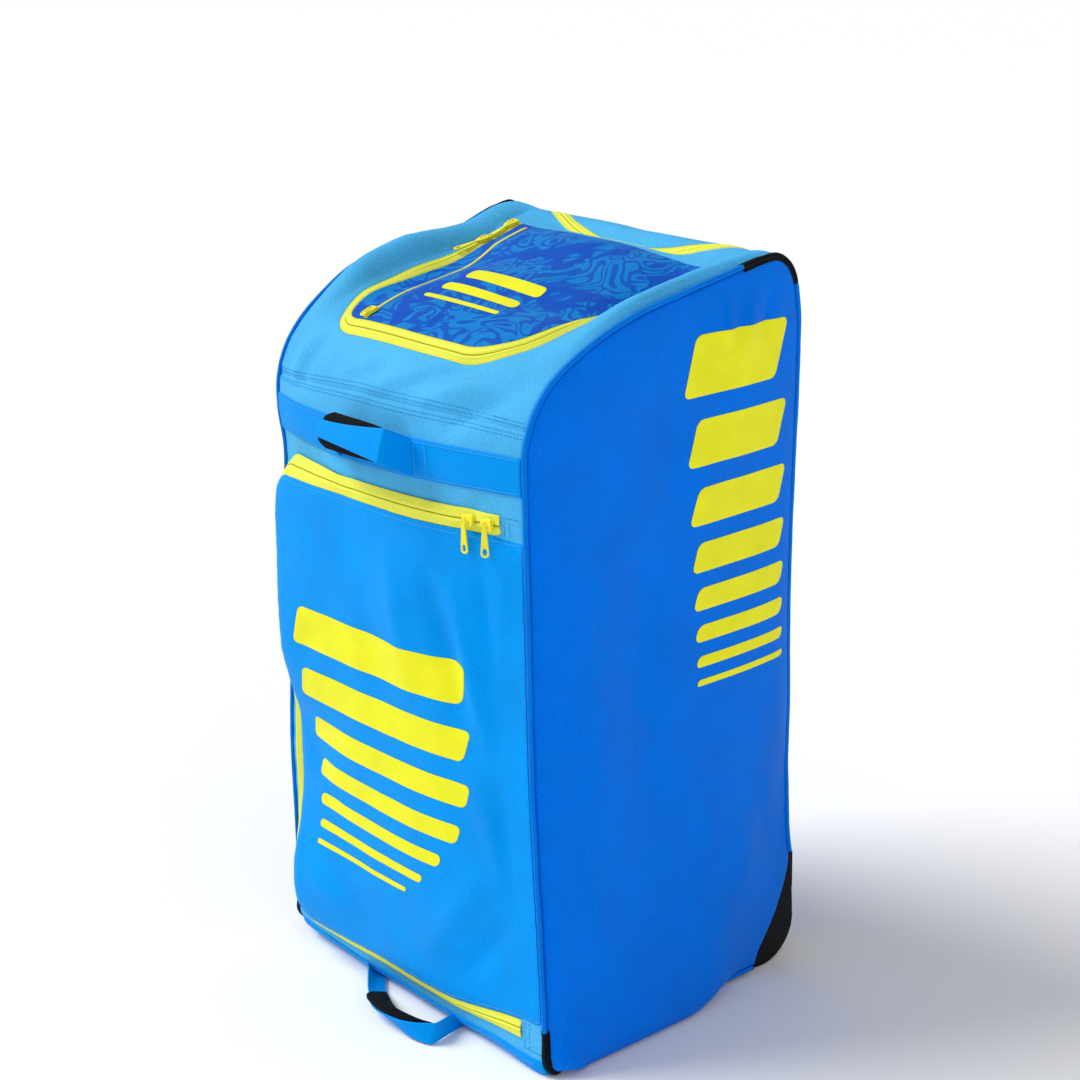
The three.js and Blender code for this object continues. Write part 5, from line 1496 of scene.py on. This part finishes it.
def tyre_profile():
    """Rounded tyre section with two grooves round its tread."""
    half, flat_half, shoulder, shoulder_power, crown = 20.0, 12.0, 6.0, 2.2, 0.4
    groove_depth, groove_place, groove_half = 1.6, 6.5, 1.2
    inner = HUB_RADIUS + GAP
    outside = []
    for place in np.linspace(-half, half, 45):
        off = abs(place)
        drop = shoulder * max(0.0, (off - flat_half) / (half - flat_half)) ** shoulder_power
        cut = groove_depth * math.exp(-(((off - groove_place) / groove_half) ** 4))
        outside.append((TYRE_RADIUS - crown * (place / flat_half) ** 2 - drop - cut, place))
    side_radius = outside[-1][0]
    right = [(lerp(side_radius, inner, t), half + 0.5 * math.sin(math.pi * t)) for t in (0.3, 0.6, 1.0)]
    return outside + mirrored(right)


def tread_wave(turns, place, radius):
    """Short slanting cuts across the tread's shoulders."""
    depth, cuts, slant, width = 1.3, 30, 0.12, 0.82
    shoulder = smooth(np.abs(place), 8.0, 9.5) * (radius > TYRE_RADIUS - 6)
    return -depth * shoulder * (np.cos(turns * cuts + place * slant) > width)


def hub_parts():
    """Hub: rim, dished web, spokes on each face, boss and end caps."""
    half, rim = 29.5, 18.0
    ring = [(HUB_RADIUS, -rim), (HUB_RADIUS, rim), (HUB_RADIUS - 1, rim + 1), (HUB_RADIUS - 5, rim + 1)]
    ring += [(HUB_RADIUS - 6, rim - 1), (HUB_RADIUS - 6, -rim + 1), (HUB_RADIUS - 5, -rim - 1)]
    ring += [(HUB_RADIUS - 1, -rim - 1)]
    web = mirrored([(8.0, -6), (HUB_RADIUS - 5, -6)])
    boss = mirrored([(5.3, -half), (11.0, -half), (12.0, -half + 1), (14.0, -11)])
    parts = [turned(profile, 72) for profile in (ring, web, boss)]
    spoke = rounded_loop([(11, -4.2), (HUB_RADIUS - 4.5, -2.8), (HUB_RADIUS - 4.5, 2.8), (11, 4.2)], 1.2)
    spokes, spoke_half = 6, 14.0
    for k in range(spokes):
        parts.append(moved(plate(spoke, -spoke_half, spoke_half, 1.2), spin(360 / spokes * k, "X")))
    return parts


HARD = {"sharp": 35, "soft": False}
AXLE_RADIUS = 5.0


def wheels():
    half = (HOUSING_X[1] - HOUSING_X[0]) / 2 - HOUSING_WALL - GAP
    t = full_turn(40)
    axle = plate(np.stack([np.cos(t), np.sin(t)], -1) * AXLE_RADIUS, -half, half, 0.5)
    tyre = turned(tyre_profile(), 240, tread_wave)
    for side, name in SIDES:
        own_side = np.diag([side, 1.0, 1.0, 1.0])
        hung = shift(side * WHEEL[0], WHEEL[1], WHEEL[2])
        held = shift(side * sum(HOUSING_X) / 2, WHEEL[1], WHEEL[2])
        wheel = f"wheel_{name}"
        for kind, parts, place, ending, look, slot, body in (
            ("housing", housing_parts(), own_side, "moulding", "plastic", "housing_plastic", "bag"),
            ("tyre", [tyre], hung, "rubber", "rubber", "tyre_rubber", wheel),
            ("hub", hub_parts(), hung, "plastic", "hub", "hub_plastic", wheel),
            ("axle", [axle], held, "rod", "steel", "axle_steel", "bag"),
        ):
            node = f"wheel_{kind}_{name}"
            parts = [moved(part, place) for part in parts]
            add_piece(f"{node}_{ending}", parts, look, slot, [node], body, **HARD)


# Stitching and print

STITCH, STITCH_GAP, THREAD = 3.4, 1.3, 0.42


def stitch_row(points, normals):
    """Short rounded stitches sunk a little into the cloth along a line of points."""
    run = lengths_along(points)
    starts = np.arange(1.0, run[-1] - STITCH, STITCH + STITCH_GAP)

    def at(places):
        return np.stack([np.interp(places, run, points[:, k]) for k in range(3)], -1)

    head, tail = at(starts), at(starts + STITCH)
    normal = np.stack([np.interp(starts + STITCH / 2, run, normals[:, k]) for k in range(3)], -1)
    side = np.cross(unit(tail - head), normal)
    turns = full_turn(6)[None, :, None]
    shares = ((0.0, 0.35, -0.15), (0.15, 0.9, 0.3), (0.5, 1.0, 0.5), (0.85, 0.9, 0.3), (1.0, 0.35, -0.15))
    rings = []
    for share, size, rise in shares:
        middle = lerp(head, tail, share) + normal * THREAD * rise
        ring = np.cos(turns) * side[:, None] + np.sin(turns) * normal[:, None]
        rings.append(middle[:, None] + THREAD * size * ring)
    rings = np.stack(rings, 1)
    vertices, faces, places = tube(rings[0])
    count = len(vertices)
    all_faces = [[corner + k * count for corner in face] for k in range(len(rings)) for face in faces]
    return rings.reshape(-1, 3), all_faces, np.tile(places, (len(rings), 1))


def sewn(along, across, lift=0.0, point=gusset_point):
    """A row of stitches along a line of places on the cloth."""
    along, across = grids(along, across)
    points = point(along, across, lift)
    step = 1.0
    up = point(along + step, across, lift) - point(along - step, across, lift)
    right = point(along, across + step, lift) - point(along, across - step, lift)
    return stitch_row(points, unit(np.cross(right, up)))


STITCH_STEP, EDGE_MARGIN, BAND_MARGIN, ZIP_MARGIN, POCKET_INWARD = 2.0, 2.0, 3.0, 2.0, 5.0
ARCH_MARGIN = 2.2
TOP_SEAM_ROWS, REAR_SEAM_ROWS = (-8.0, -4.0, 5.0, 9.0), (-5.0, 6.0)
ZIP_END_ROWS, ZIP_END_LENGTH = (5.0, 12.0), (1, 20)


def stitching():
    """Rows of stitches along the seams, the bands, the pocket and the zips."""
    wide = spaced(-EDGE + EDGE_MARGIN, EDGE - EDGE_MARGIN, STITCH_STEP)
    # The top seam, the zip ends and the rear seam are sewn in thread painted darker as painted shade
    rows = [sewn(TOP_SEAM + off, wide) for off in TOP_SEAM_ROWS]
    add_piece("stitching_top_seam", rows, "thread_with_painted_shade", "light_cloth")

    low, high = UPPER_BAND
    on_band, on_grip = BAND_TOP + 0.2, BAND_TOP + 0.7
    rows = [sewn(along, wide, on_band) for along in (low + BAND_MARGIN, high - BAND_MARGIN)]
    upright = spaced(low + 4, high - 4, STITCH_STEP)
    for side in (-1, 1):
        inner = side * (UPPER_HANDLE["half"] + BAND_MARGIN)
        outer = side * (UPPER_HANDLE["half"] + HANDLE_SEWN - BAND_MARGIN)
        rows += [sewn(upright, across, on_grip) for across in (inner, outer)]
    add_piece("stitching_upper_band", rows, "light_thread", "webbing")

    low, high = LOWER_BAND
    half = SEAM_HALF - BASE_RAMP - BAND_MARGIN
    narrow = spaced(-half, half, STITCH_STEP)
    rows = [sewn(along, narrow, on_band) for along in (low + BAND_MARGIN, high - BAND_MARGIN)]
    add_piece("stitching_lower_band", rows, "light_thread", "webbing")

    along, across, out_along, out_across = pocket_edge(STITCH_STEP).T
    inward = POCKET_INWARD
    rows = [sewn(along - inward * out_along, across - inward * out_across, 0.0, pocket_point)]
    ends = ((POCKET_TOP - inward, POCKET_ZIP_TOP), (POCKET_BOTTOM + inward, POCKET_ZIP_BOTTOM))
    for along, start in ends:
        across = spaced(start, POCKET_RIGHT - EDGE_MARGIN, STITCH_STEP)
        rows.append(sewn(along, across, 0.0, pocket_point))
    add_piece("stitching_pocket", rows, "light_thread", "pocket_cloth")

    rows = []
    near, far = ZIP_END_LENGTH
    for run, outer, end in (
        ((POCKET_TOP + near, POCKET_TOP + far), POCKET_TOP + far, POCKET_ZIP_TOP),
        ((POCKET_BOTTOM - far, POCKET_BOTTOM - near), POCKET_BOTTOM - far, POCKET_ZIP_BOTTOM),
    ):
        rows += [sewn(spaced(*run, 1.0), end + off) for off in ZIP_END_ROWS]
        rows.append(sewn(outer, spaced(end + EDGE_MARGIN, EDGE - EDGE_MARGIN, STITCH_STEP)))
    add_piece("stitching_zip_ends", rows, "thread_with_painted_shade", "light_cloth")

    rows = []
    for inset in (ZIP_MARGIN, ZIP_TAPE - ZIP_MARGIN):
        edge = (LID_ZIP_HALF - inset, LID_FRONT + inset, LID_CORNER - inset)
        line = lid_stations(edge, edge, STITCH_STEP)[:, 0]
        rows.append(sewn(line[:, 0], line[:, 1]))
    turns = np.linspace(-math.pi / 2, math.pi / 2, 240)[4:-4]
    for inset in (ARCH_MARGIN, REAR_ZIP - ARCH_MARGIN):
        along = REAR_SEAM - (ARCH_REACH - inset) * np.cos(turns)
        rows.append(sewn(along, (ARCH_HALF - inset) * np.sin(turns)))
    add_piece("stitching_lid_zips", rows, "yellow_thread", "zip_tape")

    rows = [sewn(REAR_SEAM + off, wide) for off in REAR_SEAM_ROWS]
    add_piece("stitching_rear_seam", rows, "thread_with_painted_shade", "blue_cloth")


FILM, FILM_WALL, BAR_SLANT = 0.5, 0.25, 0.35


def bar_part(low, high, start, end, slant, point):
    """One slanting bar with rounded corners: low and high across its height, start and end of its run."""
    step, fewest, margin, run_margin, edge_drop = 3.0, 12, 0.8, 0.004, 0.08
    radius = min(9.0, (high - low) * 0.45)
    height = with_margins(spaced(low, high, step), margin)
    run = with_margins(np.linspace(0, 1, max(fewest, int((end - start) / step))), run_margin)
    near = np.maximum(0, radius - np.minimum(height - low, high - height))
    draw_in = radius - np.sqrt(np.maximum(0, radius**2 - near**2))
    lean = slant * (height - (low + high) / 2)
    first = start + draw_in + lean
    last = end - draw_in + lean
    second = lerp(first[:, None], last[:, None], run[None])
    first_axis = np.broadcast_to(height[:, None], second.shape)
    weave = np.stack([second, first_axis], -1) * MM
    return shell(point(first_axis, second, FILM), weave, FILM_WALL, edge_drop=edge_drop)


# Columns: lower edge, upper edge, start and end across the front
POCKET_BARS = [
    (462, 516, -168, 150), (390, 432, -168, 150), (330, 362, -164, 150), (278, 304, -158, 132),
    (238, 256, -156, 100), (206, 218, -158, 66), (182, 189, -162, 32),
]
LID_BARS = [(*edges, -60, 80) for edges in ((1000, 1026), (964, 982), (940, 948))]
# The same on the sides, where start and end run from the front to the back
SIDE_BAR_EDGES = (
    (800, 872), (716, 772), (644, 690), (586, 622), (538, 566), (498, 519), (466, 480), (442, 450),
)
SIDE_BARS = [(*edges, 26, 180) for edges in SIDE_BAR_EDGES]


def prints():
    """Plain slanting bars, wide to narrow, in printed film on the pocket, the lid and the sides."""

    def on_right(height, depth, lift):
        return side_point(1, depth, height, lift)

    def on_left(height, depth, lift):
        return side_point(-1, depth, height, lift)

    for name, bars, slant, point in (
        ("pocket_print", POCKET_BARS, BAR_SLANT, pocket_point),
        ("lid_print", LID_BARS, -BAR_SLANT, gusset_point),
        ("side_print_right", SIDE_BARS, BAR_SLANT, on_right),
        ("side_print_left", SIDE_BARS, BAR_SLANT, on_left),
    ):
        add_piece(name, [bar_part(*bar, slant, point) for bar in bars], "print", "zip_tape")


# Stage, light and camera

def floor():
    """A wide pale floor."""
    reach = 60.0
    mesh = bpy.data.meshes.new("floor")
    corners = [(-reach, -reach, 0), (reach, -reach, 0), (reach, reach, 0), (-reach, reach, 0)]
    mesh.from_pydata(corners, [], [(0, 1, 2, 3)])
    look = Look("floor_paper", 0.9, Specular_IOR_Level=0.1, Base_Color=(0.9, 0.905, 0.91, 1))
    mesh.materials.append(look.material)
    stage = bpy.data.objects.new("floor", mesh)
    bpy.context.scene.collection.objects.link(stage)


def add_lamp(name, kind, place, power, **settings):
    """A lamp that looks at the middle of the bag."""
    light = bpy.data.lights.new(name, kind)
    light.energy = power
    for key, value in settings.items():
        setattr(light, key, value)
    lamp = bpy.data.objects.new(name, light)
    aim = np.array([0, 0, 0.5])
    back = unit(np.array(place) - aim)
    right = unit(np.cross([0, 0, 1], back))
    lamp.matrix_world = Matrix(axes_matrix(right, np.cross(back, right), back, place).tolist())
    bpy.context.scene.collection.objects.link(lamp)


def light_and_camera():
    scene = bpy.context.scene
    scene.view_settings.view_transform = "Standard"
    world = bpy.data.worlds.new("studio")
    world.use_nodes = True
    background = world.node_tree.nodes["Background"]
    background.inputs["Color"].default_value = (1, 1, 1, 1)
    background.inputs["Strength"].default_value = 0.48
    scene.world = world
    add_lamp("fill", "AREA", (3.2, -1.2, 1.2), power=20, shape="SQUARE", size=1.6)
    add_lamp("key", "SUN", (-2.3, -1.8, 3.5), power=2.8, angle=math.radians(35))
    camera = bpy.data.objects.new("camera", bpy.data.cameras.new("camera"))
    camera.data.sensor_width = 36.0
    camera.data.lens = 75.12
    right = (0.64228387, 0.76615835, -0.02174451)
    up = (-0.22341359, 0.21427861, 0.95087909)
    back = (0.73318334, -0.60587628, 0.30879788)
    place = (2.10454, -1.73494, 1.45793)
    camera.matrix_world = Matrix(axes_matrix(right, up, back, place).tolist())
    scene.collection.objects.link(camera)
    scene.camera = camera


light_and_camera()
floor()
panels()
top_pieces()
rear_pieces()
lid_pocket_zip()
pocket_pieces()
side_pieces()
handles()
sliders()
wheels()
stitching()
prints()
